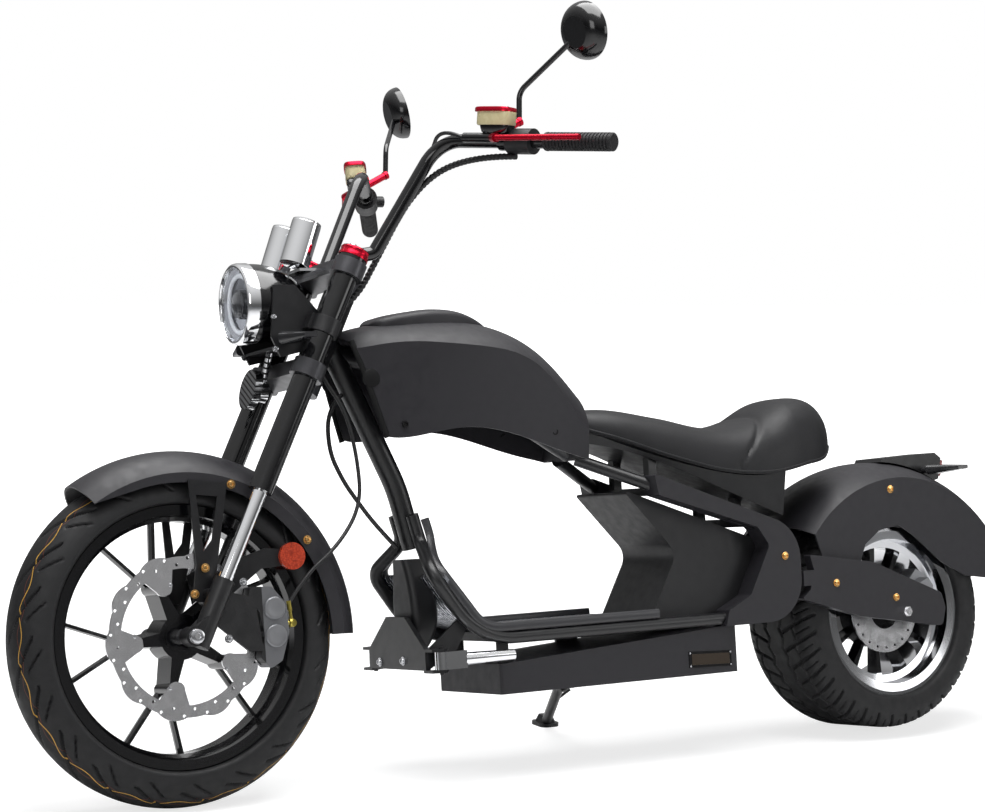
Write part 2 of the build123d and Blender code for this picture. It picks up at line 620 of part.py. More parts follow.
LID_HALF = 50.0
TANK_FRONT_LOW = (1144, 602)      # the cover's front edge slants between these, x, z
TANK_FRONT_HIGH = (1222, 864)
with BuildPart() as tank_cover:
    add(tank_solid.part)
    add(tank_hollow.part, mode=Mode.SUBTRACT)
    with BuildSketch(side_view()):
        with BuildLine():
            Polyline(
                TANK_FRONT_LOW, TANK_FRONT_HIGH, (TANK_FRONT_HIGH[0] + 90, TANK_FRONT_HIGH[1]),
                (TANK_FRONT_HIGH[0] + 90, TANK_FRONT_LOW[1]), close=True,
            )
        make_face()
    extrude(amount=2 * LID_HALF, both=True, mode=Mode.SUBTRACT)
    add(frame_spine.part, mode=Mode.SUBTRACT)
    add(rail_left, mode=Mode.SUBTRACT)
    add(rail_right, mode=Mode.SUBTRACT)

with BuildPart() as tank_lid:
    with BuildSketch(side_view()):
        with BuildLine():
            Spline((1128, 843), (1108, 857), (1020, 863), (912, 851), (846, 829), (812, 800))
            Polyline((812, 800), (812, 760), (1128, 760), (1128, 843))
        make_face()
    extrude(amount=LID_HALF, both=True)
    add(tank_solid.part, mode=Mode.SUBTRACT)

# Seat: long nose over the tank's tail, dip, rear hump
SEAT_LOFT = [
    # x, bottom z, bottom half width, top z, top half width
    (738, 636, 50, 668, 36),
    (650, 608, 80, 670, 58),
    (530, 565, 104, 651, 76),
    (400, 532, 120, 627, 88),
    (300, 528, 128, 643, 92),
    (225, 540, 122, 677, 84),
    (150, 557, 98, 672, 62),
    (103, 588, 50, 636, 26),
]


def soft_section(x, low, low_half, top, top_half):
    """Cushion section: flat base, bulging sides, slightly crowned top."""
    middle = (low + top) / 2
    with BuildSketch(Plane(origin=(x, 0, 0), x_dir=(0, 1, 0), z_dir=(1, 0, 0))) as section:
        with BuildLine():
            Line((-low_half, low), (low_half, low))
            ThreePointArc((low_half, low), (low_half + 2, middle), (top_half, top - 5))
            ThreePointArc((top_half, top - 5), (0, top), (-top_half, top - 5))
            ThreePointArc((-top_half, top - 5), (-low_half - 2, middle), (-low_half, low))
        make_face()
    return section.sketch


with BuildPart() as seat:
    for row in SEAT_LOFT:
        add(soft_section(*row))
    loft()
    add(tank_solid.part, mode=Mode.SUBTRACT)

SEAT_BASE_LOFT = [
    # x, bottom z, bottom half width, top z, top half width
    (690, 603, 44, 640, 60),
    (560, 566, 76, 610, 96),
    (420, 506, 96, 570, 114),
    (320, 464, 98, 560, 118),
    (264, 444, 90, 560, 112),
]
with BuildPart() as seat_base:
    for x, low, low_half, top, top_half in SEAT_BASE_LOFT:
        with BuildSketch(Plane(origin=(x, 0, 0), x_dir=(0, 1, 0), z_dir=(1, 0, 0))):
            with BuildLine():
                Polyline(
                    (-low_half, low), (low_half, low), (top_half, top), (-top_half, top), close=True,
                )
            make_face()
    loft()
    add(seat.part, mode=Mode.SUBTRACT)
    add(cross_members.part, mode=Mode.SUBTRACT)

# Moulded panel under the seat and the covers round the rails' rear loops
PANEL_HALF = 86.0
PANEL_FOOT = RAIL_HEIGHT + CROSS_BAR / 2 + SEAT_GAP
PANEL_FRONT = DECK_REAR - 2
with BuildPart() as under_seat_panel:
    with BuildSketch(side_view()):
        with BuildLine():
            FilletPolyline(
                (PANEL_FRONT, PANEL_FOOT), (526, 384), (646, 512), (560, 482), (320, 396),
                (312, 300), (340, PANEL_FOOT), radius=[34, 4, 10, 20, 20], close=False,
            )
            Line((340, PANEL_FOOT), (PANEL_FRONT, PANEL_FOOT))
        make_face()
    extrude(amount=PANEL_HALF, both=True)
    add(cross_members.part, mode=Mode.SUBTRACT)

COVER_IN, COVER_OUT = 87.0, 131.0
with BuildPart() as side_covers:
    for side in (1, -1):
        with BuildSketch(side_view(side * COVER_IN)):
            with BuildLine():
                FilletPolyline(
                    (600, 539), (LOOP_BACK - 15, 418), (LOOP_BACK - 15, 238), (450, 238),
                    (440, 268), (386, 294), (334, 388), (360, 425), (592, 498),
                    radius=[4, 84, 84, 2, 4, 12, 14, 14, 4], close=True,
                )
            make_face()
        extrude(amount=-side * (COVER_OUT - COVER_IN))
    add(rail_left, mode=Mode.SUBTRACT)
    add(rail_right, mode=Mode.SUBTRACT)
    add(cross_members.part, mode=Mode.SUBTRACT)
    add(floorboard.part, mode=Mode.SUBTRACT)
    add(battery_box.part, mode=Mode.SUBTRACT)

# Rear fender: arched crown on flat sides, cut away over the wheel
FENDER_X, FENDER_Z = -15.0, 215.0
FENDER_RADIUS = 326.0
FENDER_HALF = 119.0
FENDER_SIDE_RADIUS = 292.0
FENDER_REAR_ANGLE, FENDER_FRONT_ANGLE = 167.0, 40.0     # degrees up from straight ahead
ARM_TOP_REAR, ARM_TOP_FRONT = Vector(78, 0, 341), Vector(238, 0, 364)    # top edge of the arm covers


def arm_top(x):
    """Height of the arm covers' straight top edge."""
    share = (x - ARM_TOP_REAR.X) / (ARM_TOP_FRONT.X - ARM_TOP_REAR.X)
    return ARM_TOP_REAR.Z + share * (ARM_TOP_FRONT.Z - ARM_TOP_REAR.Z)


def arch_section(x, z, angle):
    """Plane across an arched fender; its y points out from the arch's centre at the angle."""
    turn = radians(angle)
    return Plane(origin=(x, 0, z), x_dir=(0, 1, 0), z_dir=(sin(turn), 0, -cos(turn)))


def arch_profile(half, side_radius, crown_radius, wall):
    """Closed outline of a fender's crown, for a sketch across the arch."""
    with BuildLine() as outline:
        ThreePointArc((-half, side_radius), (0, crown_radius), (half, side_radius))
        Line((half, side_radius), (half - wall, side_radius - wall / 2))
        ThreePointArc(
            (half - wall, side_radius - wall / 2), (0, crown_radius - wall),
            (-half + wall, side_radius - wall / 2),
        )
        Line((-half + wall, side_radius - wall / 2), (-half, side_radius))
    return outline.line


with BuildPart() as rear_fender:
    with BuildSketch(arch_section(FENDER_X, FENDER_Z, FENDER_REAR_ANGLE)):
        add(arch_profile(FENDER_HALF, FENDER_SIDE_RADIUS, FENDER_RADIUS, FENDER_WALL))
        make_face()
    revolve(
        axis=Axis((FENDER_X, 0, FENDER_Z), (0, 1, 0)),
        revolution_arc=FENDER_REAR_ANGLE - FENDER_FRONT_ANGLE,
    )
    for side in (1, -1):
        with BuildSketch(side_view(side * (FENDER_HALF - FENDER_WALL))):
            with BuildLine():
                tip_x = FENDER_X + FENDER_SIDE_RADIUS * cos(radians(FENDER_REAR_ANGLE))
                tip_z = FENDER_Z + FENDER_SIDE_RADIUS * sin(radians(FENDER_REAR_ANGLE))
                nose_x = FENDER_X + FENDER_SIDE_RADIUS * cos(radians(FENDER_FRONT_ANGLE))
                nose_z = FENDER_Z + FENDER_SIDE_RADIUS * sin(radians(FENDER_FRONT_ANGLE))
                ThreePointArc(
                    (tip_x, tip_z), (FENDER_X, FENDER_Z + FENDER_SIDE_RADIUS), (nose_x, nose_z),
                )
                Polyline(
                    (nose_x, nose_z), (194, arm_top(194) + SEAT_GAP), (96, arm_top(96) + SEAT_GAP),
                    (82, 376), (44, 402), (-8, 411),
                    (-45, 388), (-116, 330), (-178, 298), (tip_x, tip_z),
                )
            make_face()
        extrude(amount=-side * FENDER_WALL)

# Tail: bracket on the fender with the rear lamp and the two stalked indicators
with BuildPart() as tail_bracket:
    with BuildSketch(side_view()):
        with BuildLine():
            Polyline((-30, 530), (-40, 548), (-184, 555), (-200, 543), (-190, 500), (-150, 490), close=True)
        make_face()
    extrude(amount=42, both=True)
    with BuildSketch(side_view()):
        with Locations((FENDER_X, FENDER_Z)):
            Circle(FENDER_RADIUS + SEAT_GAP)
    extrude(amount=60, both=True, mode=Mode.SUBTRACT)
with BuildPart() as tail_lamp:
    with BuildSketch(side_view()):
        with BuildLine():
            Polyline((-196, 541), (-186, 503), (-202, 506), (-210, 538), close=True)
        make_face()
    extrude(amount=36, both=True)
    add(tail_bracket.part, mode=Mode.SUBTRACT)
SIGNAL_Z = 520.0
with BuildPart() as rear_signals:
    for side in (1, -1):
        add(rod((-150, side * 42, SIGNAL_Z), (-150, side * 74, SIGNAL_Z), 14))
        with BuildSketch(Plane(origin=(-150, side * 72, SIGNAL_Z), x_dir=(1, 0, 0), z_dir=(0, side, 0))):
            RectangleRounded(40, 20, 8)
        with BuildSketch(Plane(origin=(-176, side * 136, SIGNAL_Z + 2), x_dir=(1, 0, 0), z_dir=(0, side, 0))):
            RectangleRounded(26, 8, 3)
        loft()

AXLE_END = 12.0           # the rear axle's thread beyond the arm covers


def rear_axle_hole():
    """Clamp hole of the rear axle through both arms."""
    with BuildPart() as hole:
        with BuildSketch(REAR_WHEEL.offset(-ARM_OUT - 1)):
            Circle(AXLE_DIA / 2)
        extrude(amount=2 * ARM_OUT + 2)
    return hole.part


# Swingarm: pivot tube, two arms, and the broad side covers that carry the rear axle
ARM_IN, ARM_OUT = 113.0, 134.0
PIVOT_DIA = 34.0
ARM_DEPTH = 30.0
with BuildPart() as swingarm:
    for side in (1, -1):
        with BuildSketch(side_view(side * ARM_IN)):
            with BuildLine():
                FilletPolyline(
                    (241, 294), (229, 333), (ARM_TOP_FRONT.X, ARM_TOP_FRONT.Z),
                    (ARM_TOP_REAR.X, ARM_TOP_REAR.Z), (-98, 268), (-107, 238),
                    (-97, 200), (0, 216), (112, 233), (262, 278),
                    radius=[4, 10, 3, 60, 12, 14, 12, 30, 60, 3], close=True,
                )
            make_face()
        extrude(amount=-side * (ARM_OUT - ARM_IN))
    with BuildSketch(Plane.XY.offset(PIVOT_Z - ARM_DEPTH / 2)):
        for side in (1, -1):
            with BuildLine():
                Polyline(
                    (PIVOT_X + 10, side * 60), (PIVOT_X + 10, side * PIVOT_HALF),
                    (256, side * PIVOT_HALF), (256, side * ARM_OUT), (226, side * ARM_OUT),
                    (226, side * ARM_IN), (240, side * ARM_IN), (240, side * 60), close=True,
                )
            make_face()
    extrude(amount=ARM_DEPTH)
    with BuildSketch(side_view()):
        with Locations((PIVOT_X, PIVOT_Z)):
            Circle(PIVOT_DIA / 2)
    extrude(amount=PIVOT_HALF, both=True)
    add(rear_axle_hole(), mode=Mode.SUBTRACT)

with BuildPart() as rear_axle:
    with BuildSketch(REAR_WHEEL.offset(-ARM_OUT - AXLE_END)):
        Circle(AXLE_DIA / 2)
    extrude(amount=2 * (ARM_OUT + AXLE_END))
    for inner in (REAR_DISC_SIDE + DISC_THICKNESS / 2 + 2, -ARM_IN):
        with BuildSketch(REAR_WHEEL.offset(inner)):
            Circle(SPACER_DIA / 2)
        extrude(amount=ARM_IN - REAR_DISC_SIDE - DISC_THICKNESS / 2 - 2)
    with BuildSketch(REAR_WHEEL.offset(-REAR_DISC_SIDE - DISC_THICKNESS / 2 - 2)):
        Circle(SPACER_DIA / 2)
    extrude(amount=REAR_DISC_SIDE + DISC_THICKNESS / 2 + 1 - MOTOR_HALF)
    for outer in (ARM_OUT, -ARM_OUT - AXLE_HEAD):
        with BuildSketch(REAR_WHEEL.offset(outer)):
            RegularPolygon(AXLE_DIA * 0.75, 6)
        extrude(amount=AXLE_HEAD)

# Rear caliper on its bracket, straddling the disc behind the axle
with BuildPart() as rear_caliper:
    with BuildSketch(side_view(REAR_DISC_SIDE - 17)):
        with BuildLine():
            Polyline(
                (-62, 272), (-54, 296), (-76, 318), (-98, 306), (-106, 282), (-92, 262), close=True,
            )
        make_face()
    extrude(amount=-36)
    with BuildSketch(side_view(REAR_DISC_SIDE - DISC_THICKNESS / 2 - 2)):
        with Locations((0, REAR_TYRE_RADIUS)):
            Circle(REAR_DISC_RADIUS + 3)
    extrude(amount=-(DISC_THICKNESS + 4), mode=Mode.SUBTRACT)
    with BuildSketch(side_view(REAR_DISC_SIDE + 19)):
        with BuildLine():
            Polyline((-70, 262), (-60, 290), (-84, 300), (-96, 282), (-86, 250), (-64, 240), close=True)
        make_face()
    extrude(amount=-(ARM_IN - REAR_DISC_SIDE - 19))

# How it stands: bars slightly turned, both tyres on the ground, leaned onto the stand
turn, rake, lean = radians(STEER), radians(RAKE), radians(LEAN)


def tyre_drop(radius, half_width, shoulder, tilt):
    """Height of a wheel's centre over the ground; tilt is the sine of its axle's slope."""
    return (radius - shoulder) * sqrt(1 - tilt ** 2) + (half_width - shoulder) * abs(tilt) + shoulder


turned_axle = in_fork(AXLE_IN_FORK.X * cos(turn), AXLE_IN_FORK.X * sin(turn), AXLE_IN_FORK.Z)
front_tilt = cos(turn) * sin(lean) - sin(turn) * sin(rake) * cos(lean)
front_drop = tyre_drop(FRONT_TYRE_RADIUS, FRONT_TYRE_HALF_WIDTH, FRONT_SHOULDER, front_tilt)
rear_drop = tyre_drop(REAR_TYRE_RADIUS, REAR_TYRE_HALF_WIDTH, REAR_SHOULDER, sin(lean))
axle_rise = turned_axle.Z - REAR_TYRE_RADIUS
sink = -(front_drop - rear_drop - turned_axle.Y * sin(lean)) / cos(lean)
pitch = asin(sink / hypot(turned_axle.X, axle_rise)) + atan2(axle_rise, turned_axle.X)
lift = rear_drop - REAR_TYRE_RADIUS * cos(lean) * cos(pitch)
PARKED = Pos(0, 0, lift) * Rot(LEAN, degrees(pitch), 0)
GROUND = Plane(PARKED.inverse())          # the ground, as seen from the upright scooter

# Side stand on the right: bracket on the rail, tilted pivot bolt, leg and foot on the ground
STAND_PIVOT = Vector(664, -137, 140)
STAND_FOOT = GROUND.from_local_coords(Vector(597, -310, 0))
LEG_DIA = 20.0
STAND_BOLT_DIA = 10.0
STAND_KNUCKLE = 24.0
STAND_KNUCKLE_HALF = 10.0
FOOT_PAD = 7.0
leg_run = STAND_FOOT - STAND_PIVOT
leg_side = Vector(0, leg_run.Y, leg_run.Z).normalized()
STAND_AXIS = leg_side.cross(Vector(1, 0, 0)).normalized()
with BuildPart() as stand_bracket:
    with BuildSketch(side_view(-BOX_HALF - SEAT_GAP)):
        with BuildLine():
            Polyline(
                (STAND_PIVOT.X - 34, RAIL_HEIGHT), (STAND_PIVOT.X + 26, RAIL_HEIGHT),
                (STAND_PIVOT.X + 14, STAND_PIVOT.Z + 16), (STAND_PIVOT.X + 14, STAND_PIVOT.Z - 12),
                (STAND_PIVOT.X - 14, STAND_PIVOT.Z - 12), (STAND_PIVOT.X - 14, STAND_PIVOT.Z + 16),
                close=True,
            )
        make_face()
    extrude(amount=6)
    for shift in (STAND_KNUCKLE_HALF + SEAT_GAP, -STAND_KNUCKLE_HALF - SEAT_GAP - TAB):
        with BuildSketch(Plane(origin=STAND_PIVOT + STAND_AXIS * shift, x_dir=(1, 0, 0), z_dir=STAND_AXIS)):
            Circle(13)
            with Locations((0, 13)):
                Rectangle(26, 26)
        extrude(amount=TAB)
    add(rod(STAND_PIVOT - STAND_AXIS * 20, STAND_PIVOT + STAND_AXIS * 19, STAND_BOLT_DIA))
    add(rail_right, mode=Mode.SUBTRACT)
with BuildPart() as side_stand:
    knuckle_end = STAND_AXIS * STAND_KNUCKLE_HALF
    add(rod(STAND_PIVOT - knuckle_end, STAND_PIVOT + knuckle_end, STAND_KNUCKLE))
    add(rod(STAND_PIVOT, STAND_FOOT - leg_run.normalized() * 1.2 * LEG_DIA, LEG_DIA))
    with BuildSketch(Plane(origin=STAND_FOOT, x_dir=GROUND.x_dir, z_dir=GROUND.z_dir)):
        RectangleRounded(44, 52, 14)
    extrude(amount=FOOT_PAD)
    with BuildSketch(Plane(origin=STAND_FOOT + GROUND.z_dir * FOOT_PAD, x_dir=GROUND.x_dir, z_dir=GROUND.z_dir)):
        RectangleRounded(34, 40, 12)
    extrude(amount=14, taper=25)
    tang = STAND_PIVOT + leg_run * 0.45
    add(rod(tang, tang + Vector(-34, 10, 22), 6))
    add(
        rod(STAND_PIVOT - STAND_AXIS * 12, STAND_PIVOT + STAND_AXIS * 12, STAND_BOLT_DIA + 2 * PIN_FIT),
        mode=Mode.SUBTRACT,
    )

# Foot pegs, folded back along the box; each turns on its upright pin
PEG_LENGTH = 150.0
foot_pegs = []
for side in (1, -1):
    with BuildPart() as foot_peg:
        with BuildSketch(Plane.XY.offset(PEG_Z - PEG_BLOCK / 2)):
            with Locations((PEG_PIN_X, side * PEG_PIN_Y)):
                Circle(13)
            with Locations((PEG_PIN_X - 24, side * (PEG_PIN_Y + 5))):
                Rectangle(44, 20)
        extrude(amount=PEG_BLOCK)
        with BuildSketch(Plane(origin=(PEG_PIN_X - 44, side * (PEG_PIN_Y + 5), PEG_Z), z_dir=(-1, 0, 0))):
            Circle(12)
        extrude(amount=PEG_LENGTH - 44, taper=1)
        with BuildSketch(Plane.XY.offset(PEG_Z - PEG_BLOCK)):
            with Locations((PEG_PIN_X, side * PEG_PIN_Y)):
                Circle(PEG_PIN_DIA / 2 + PIN_FIT)
        extrude(amount=2 * PEG_BLOCK, mode=Mode.SUBTRACT)
    foot_pegs.append(foot_peg.part)
foot_peg_left, foot_peg_right = foot_pegs

# Front fender with its slotted brackets and the round reflectors
FRONT_FENDER_X = WHEELBASE - 8
FRONT_FENDER_Z = FRONT_TYRE_RADIUS - 6
FRONT_FENDER_RADIUS = 332.0
FRONT_FENDER_HALF = 70.0
FRONT_FENDER_SIDE = 290.0
FRONT_FENDER_REAR_ANGLE, FRONT_FENDER_NOSE_ANGLE = 182.0, 57.0
with BuildPart() as front_fender:
    with BuildSketch(arch_section(FRONT_FENDER_X, FRONT_FENDER_Z, FRONT_FENDER_REAR_ANGLE)):
        add(arch_profile(FRONT_FENDER_HALF, FRONT_FENDER_SIDE, FRONT_FENDER_RADIUS, FENDER_WALL))
        make_face()
    revolve(
        axis=Axis((FRONT_FENDER_X, 0, FRONT_FENDER_Z), (0, 1, 0)),
        revolution_arc=FRONT_FENDER_REAR_ANGLE - FRONT_FENDER_NOSE_ANGLE,
    )
    for side in (1, -1):
        with BuildSketch(side_view(side * (FRONT_FENDER_HALF - FENDER_WALL))):
            with BuildLine():
                reach = FRONT_FENDER_SIDE
                low = FRONT_FENDER_SIDE - 22
                rear_low = (FRONT_FENDER_X - low, FRONT_FENDER_Z - 10)
                nose = radians(FRONT_FENDER_NOSE_ANGLE)
                nose_x = FRONT_FENDER_X + reach * cos(nose)
                nose_z = FRONT_FENDER_Z + reach * sin(nose)
                ThreePointArc(
                    (FRONT_FENDER_X - reach * cos(radians(2)), FRONT_FENDER_Z - reach * sin(radians(2))),
                    (FRONT_FENDER_X - reach * sin(radians(30)), FRONT_FENDER_Z + reach * cos(radians(30))),
                    (nose_x, nose_z),
                )
                Line((nose_x, nose_z), (FRONT_FENDER_X + 78, FRONT_FENDER_Z + low - 4))
                ThreePointArc(
                    (FRONT_FENDER_X + 78, FRONT_FENDER_Z + low - 4),
                    (FRONT_FENDER_X - low * sin(radians(45)), FRONT_FENDER_Z + low * cos(radians(45))),
                    rear_low,
                )
                Line(rear_low, (FRONT_FENDER_X - reach * cos(radians(2)), FRONT_FENDER_Z - reach * sin(radians(2))))
            make_face()
        extrude(amount=-side * FENDER_WALL)

BRACKET_WALL = 4.0
with BuildPart() as fender_brackets:
    for side in (1, -1):
        with BuildSketch(side_view(side * (FRONT_FENDER_HALF + SEAT_GAP))):
            with BuildLine():
                Polyline(
                    (1536, 566), (1464, 558), (1494, 400), (1512, 352), (1540, 356), (1530, 420),
                    close=True,
                )
            make_face()
            with BuildLine():
                Polyline((1523, 540), (1484, 535), (1498, 460), (1515, 440), close=True)
            make_face(mode=Mode.SUBTRACT)
        extrude(amount=-side * BRACKET_WALL)
        with BuildSketch(side_view(side * (FRONT_FENDER_HALF + SEAT_GAP))):
            with BuildLine():
                Polyline(
                    (1486, 350), (1494, 402), (1440, 428), (1400, 440), (1330, 432), (1332, 410),
                    (1410, 404), close=True,
                )
            make_face()
        extrude(amount=-side * BRACKET_WALL)
        add(rod((1514, side * (FRONT_FENDER_HALF + 2), 368), (1514, side * LEG_SPREAD, 368), 16))
    add(fork_castings.part, mode=Mode.SUBTRACT)

REFLECTOR_X, REFLECTOR_Z = 1352.0, 423.0
with BuildPart() as reflectors:
    for side in (1, -1):
        with BuildSketch(side_view(side * (FRONT_FENDER_HALF + SEAT_GAP + BRACKET_WALL))):
            with Locations((REFLECTOR_X, REFLECTOR_Z)):
                Circle(24)
        extrude(amount=-side * 9)

# Front caliper and its carrier
with BuildPart() as front_caliper:
    with BuildSketch(side_view(DISC_SIDE - 15)):
        with BuildLine():
            FilletPolyline(
                (1442, 374), (1402, 372), (1376, 340), (1374, 290), (1390, 242), (1412, 230),
                (1430, 250), (1420, 290), (1428, 330), (1448, 352),
                radius=[5, 10, 10, 10, 6, 6, 5, 20, 10, 5], close=True,
            )
        make_face()
    extrude(amount=-46)
    with BuildSketch(side_view(DISC_SIDE - DISC_THICKNESS / 2 - 2.5)):
        with Locations((WHEELBASE, FRONT_TYRE_RADIUS)):
            Circle(DISC_RADIUS + 4)
    extrude(amount=-(DISC_THICKNESS + 5), mode=Mode.SUBTRACT)
    with BuildSketch(side_view(LEG_SPREAD - 8)):
        with BuildLine():
            Polyline((1500, 372), (1436, 356), (1424, 262), (1450, 262), (1520, 322), close=True)
        make_face()
    extrude(amount=-8)
    add(fork_castings.part, mode=Mode.SUBTRACT)

# Headlight on its bracket between the fork tubes
LAMP_X, LAMP_Z = WHEELBASE - 161, 880.0
LAMP_DIA = 148.0
LAMP_PLATE = 5.0
LAMP_PLATE_IN = LAMP_DIA / 2 - 4
LAMP_SHELF_Z = LAMP_Z - 88
LAMP_RING_UP = 892.0
with BuildPart() as headlight:
    with BuildSketch(Plane(origin=(LAMP_X - 18, 0, LAMP_Z), z_dir=(1, 0, 0))):
        Circle(LAMP_DIA / 2 - 2)
    with BuildSketch(Plane(origin=(LAMP_X - 70, 0, LAMP_Z), z_dir=(1, 0, 0))):
        Circle(LAMP_DIA / 2 - 8)
    with BuildSketch(Plane(origin=(LAMP_X - 118, 0, LAMP_Z), z_dir=(1, 0, 0))):
        Circle(LAMP_DIA / 2 - 36)
    loft()
LENS_RADIUS = LAMP_DIA / 2 - 8
LENS_DOME = 11.0
dome_radius = (LENS_RADIUS ** 2 + LENS_DOME ** 2) / (2 * LENS_DOME)
dome_x = LAMP_X + 4 + LENS_DOME - dome_radius + sqrt(dome_radius ** 2 - (LENS_RADIUS / 2) ** 2)
with BuildPart() as headlight_lens:
    with BuildSketch(Plane(origin=(0, 0, LAMP_Z), x_dir=(1, 0, 0), z_dir=(0, -1, 0))):
        with BuildLine():
            Line((LAMP_X - 18, 0), (LAMP_X - 18, LAMP_DIA / 2))
            Line((LAMP_X - 18, LAMP_DIA / 2), (LAMP_X, LAMP_DIA / 2))
            Line((LAMP_X, LAMP_DIA / 2), (LAMP_X + 4, LENS_RADIUS))
            ThreePointArc((LAMP_X + 4, LENS_RADIUS), (dome_x, LENS_RADIUS / 2), (LAMP_X + 4 + LENS_DOME, 0))
            Line((LAMP_X + 4 + LENS_DOME, 0), (LAMP_X - 18, 0))
        make_face()
    revolve(axis=Axis((0, 0, LAMP_Z), (1, 0, 0)))
with BuildPart() as lamp_bracket:
    for side in (1, -1):
        with BuildSketch(side_view(side * LAMP_PLATE_IN)):
            with BuildLine():
                Polyline(
                    (LAMP_X - 42, LAMP_Z + 25), (LAMP_X - 84, LAMP_Z + 25), (LAMP_X - 132, LAMP_Z - 30),
                    (LAMP_X - 98, LAMP_Z - 94), (LAMP_X - 48, LAMP_Z - 104), (LAMP_X - 32, LAMP_Z - 68),
                    close=True,
                )
            make_face()
        extrude(amount=-side * LAMP_PLATE)
        with BuildSketch(fork_plane(LEG_LEAD, side * LEG_SPREAD, LAMP_RING_UP)):
            Circle(UPPER_TUBE_DIA / 2 + 4)
            with Locations((16, -side * (LEG_SPREAD - LAMP_PLATE_IN) / 2)):
                Rectangle(32, LEG_SPREAD - LAMP_PLATE_IN)
        extrude(amount=30)
    with BuildSketch(Plane.XY.offset(LAMP_SHELF_Z)):
        with Locations((LAMP_X - 76, 0)):
            Rectangle(70, 2 * LAMP_PLATE_IN)
    extrude(amount=LAMP_PLATE)
    add(headlight.part, mode=Mode.SUBTRACT)
    add(fork_tubes.part, mode=Mode.SUBTRACT)

# Gauges: two bright pods on a bar over the lamp; horn below it; stalked front indicators
with BuildPart() as gauges:
    for side in (1, -1):
        tilt = Plane(origin=(1296, side * 46, 944), x_dir=(0, 1, 0), z_dir=(-0.37, 0, 0.93))
        with BuildSketch(tilt):
            Circle(27)
        extrude(amount=82)
        fillet(gauges.edges().group_by(Axis.Z)[-1], radius=3)
    with BuildSketch(Plane(origin=(1262, 0, 932), x_dir=(0, 1, 0), z_dir=(0, 0, 1))):
        Rectangle(120, 60)
    extrude(amount=5)
    add(headlight.part, mode=Mode.SUBTRACT)
    add(triple_clamps.part, mode=Mode.SUBTRACT)

with BuildPart() as horn:
    with BuildSketch(Plane(origin=(1366, -8, 724), z_dir=(0.97, 0, 0.25))):
        Circle(37)
    extrude(amount=14)
    with BuildSketch(Plane(origin=(1366, -8, 724), z_dir=(-0.97, 0, -0.25))):
        Circle(18)
    extrude(amount=22)
    add(rod((1352, -8, 724), (1332, -8, LAMP_SHELF_Z), 12))
    add(lamp_bracket.part, mode=Mode.SUBTRACT)

with BuildPart() as front_signals:
    for side in (1, -1):
        add(rod((1338, side * (LAMP_PLATE_IN + 2), 808), (1338, side * 100, 808), 13))
        with BuildSketch(Plane(origin=(1338, side * 98, 808), x_dir=(1, 0, 0), z_dir=(0, side, 0))):
            RectangleRounded(42, 22, 8)
        with BuildSketch(Plane(origin=(1326, side * 168, 806), x_dir=(1, 0, 0), z_dir=(0, side, 0))):
            RectangleRounded(24, 9, 3)
        loft()
    add(lamp_bracket.part, mode=Mode.SUBTRACT)

# Handlebar: one swept bar over each fork tube, with grips, housings, levers and mirrors
BAR_RISE = [(1166, 108, 956), (1048, 166, 1152), (883, 490, 1093)]     # corners of the left bar, x, y, z
BAR_KNEE, BAR_END = Vector(*BAR_RISE[1]), Vector(*BAR_RISE[2])
bar_out = (BAR_END - BAR_KNEE).normalized()
BAR_FOOT_UP = TOP_CLAMP_UP + CLAMP_THICKNESS


def mirrored(side, point):
    """The point, or its twin across the scooter's middle when side is negative."""
    return Vector(point.X, side * point.Y, point.Z)


def on_bar(side, along, x=0.0, z=0.0):
    """Point a given way along the bar's outer run, moved forward and up."""
    return mirrored(side, BAR_KNEE + bar_out * along + Vector(x, 0, z))


with BuildPart() as handlebar:
    for side in (1, -1):
        foot = in_fork(LEG_LEAD, LEG_SPREAD, BAR_FOOT_UP + 12)
        corners = [mirrored(side, point) for point in [foot, Vector(*BAR_RISE[0]), BAR_KNEE, BAR_END]]
        add(swept_tube(corners, [16, 66], BAR_DIA))
        with BuildSketch(fork_plane(LEG_LEAD, side * LEG_SPREAD, BAR_FOOT_UP)):
            Circle(UPPER_TUBE_DIA / 2 + 4)
        extrude(amount=24)

GRIP_START = 235.0
with BuildPart() as grips:
    for side in (1, -1):
        add(rod(on_bar(side, GRIP_START), on_bar(side, GRIP_START + GRIP_LENGTH + 18), GRIP_DIA))
    add(handlebar.part, mode=Mode.SUBTRACT)

POD_START, POD_LENGTH, POD_DIA = 158.0, 50.0, 46.0
with BuildPart() as switch_housings:
    for side in (1, -1):
        add(rod(on_bar(side, POD_START), on_bar(side, POD_START + POD_LENGTH), POD_DIA))
        add(rod(on_bar(side, POD_START + 25, -6), on_bar(side, POD_START + 25, -36), 22))
    add(handlebar.part, mode=Mode.SUBTRACT)

PERCH_START, PERCH_END = 96.0, 146.0
RESERVOIR_DIA = 42.0
with BuildPart() as brake_masters:
    for side in (1, -1):
        add(rod(on_bar(side, PERCH_START + 10), on_bar(side, PERCH_END - 6), BAR_DIA + 14))
        add(rod(on_bar(side, PERCH_START - 14, 26, 6), on_bar(side, PERCH_END + 4, 26, 6), 24))
        add(rod(on_bar(side, PERCH_START + 22, 20), on_bar(side, PERCH_START + 22, 16, 58), RESERVOIR_DIA))
        add(rod(on_bar(side, PERCH_START + 32, 0, 10), on_bar(side, PERCH_START + 32, -48, 36), 14))
    add(handlebar.part, mode=Mode.SUBTRACT)
with BuildPart() as brake_levers:
    for side in (1, -1):
        add(rod(on_bar(side, PERCH_END + 4.3, 30, 6), on_bar(side, PERCH_END + 30, 46, 6), 16))
        add(rod(on_bar(side, PERCH_END + 30, 46, 6), on_bar(side, 362, 56, 8), 11))
    add(brake_masters.part, mode=Mode.SUBTRACT)

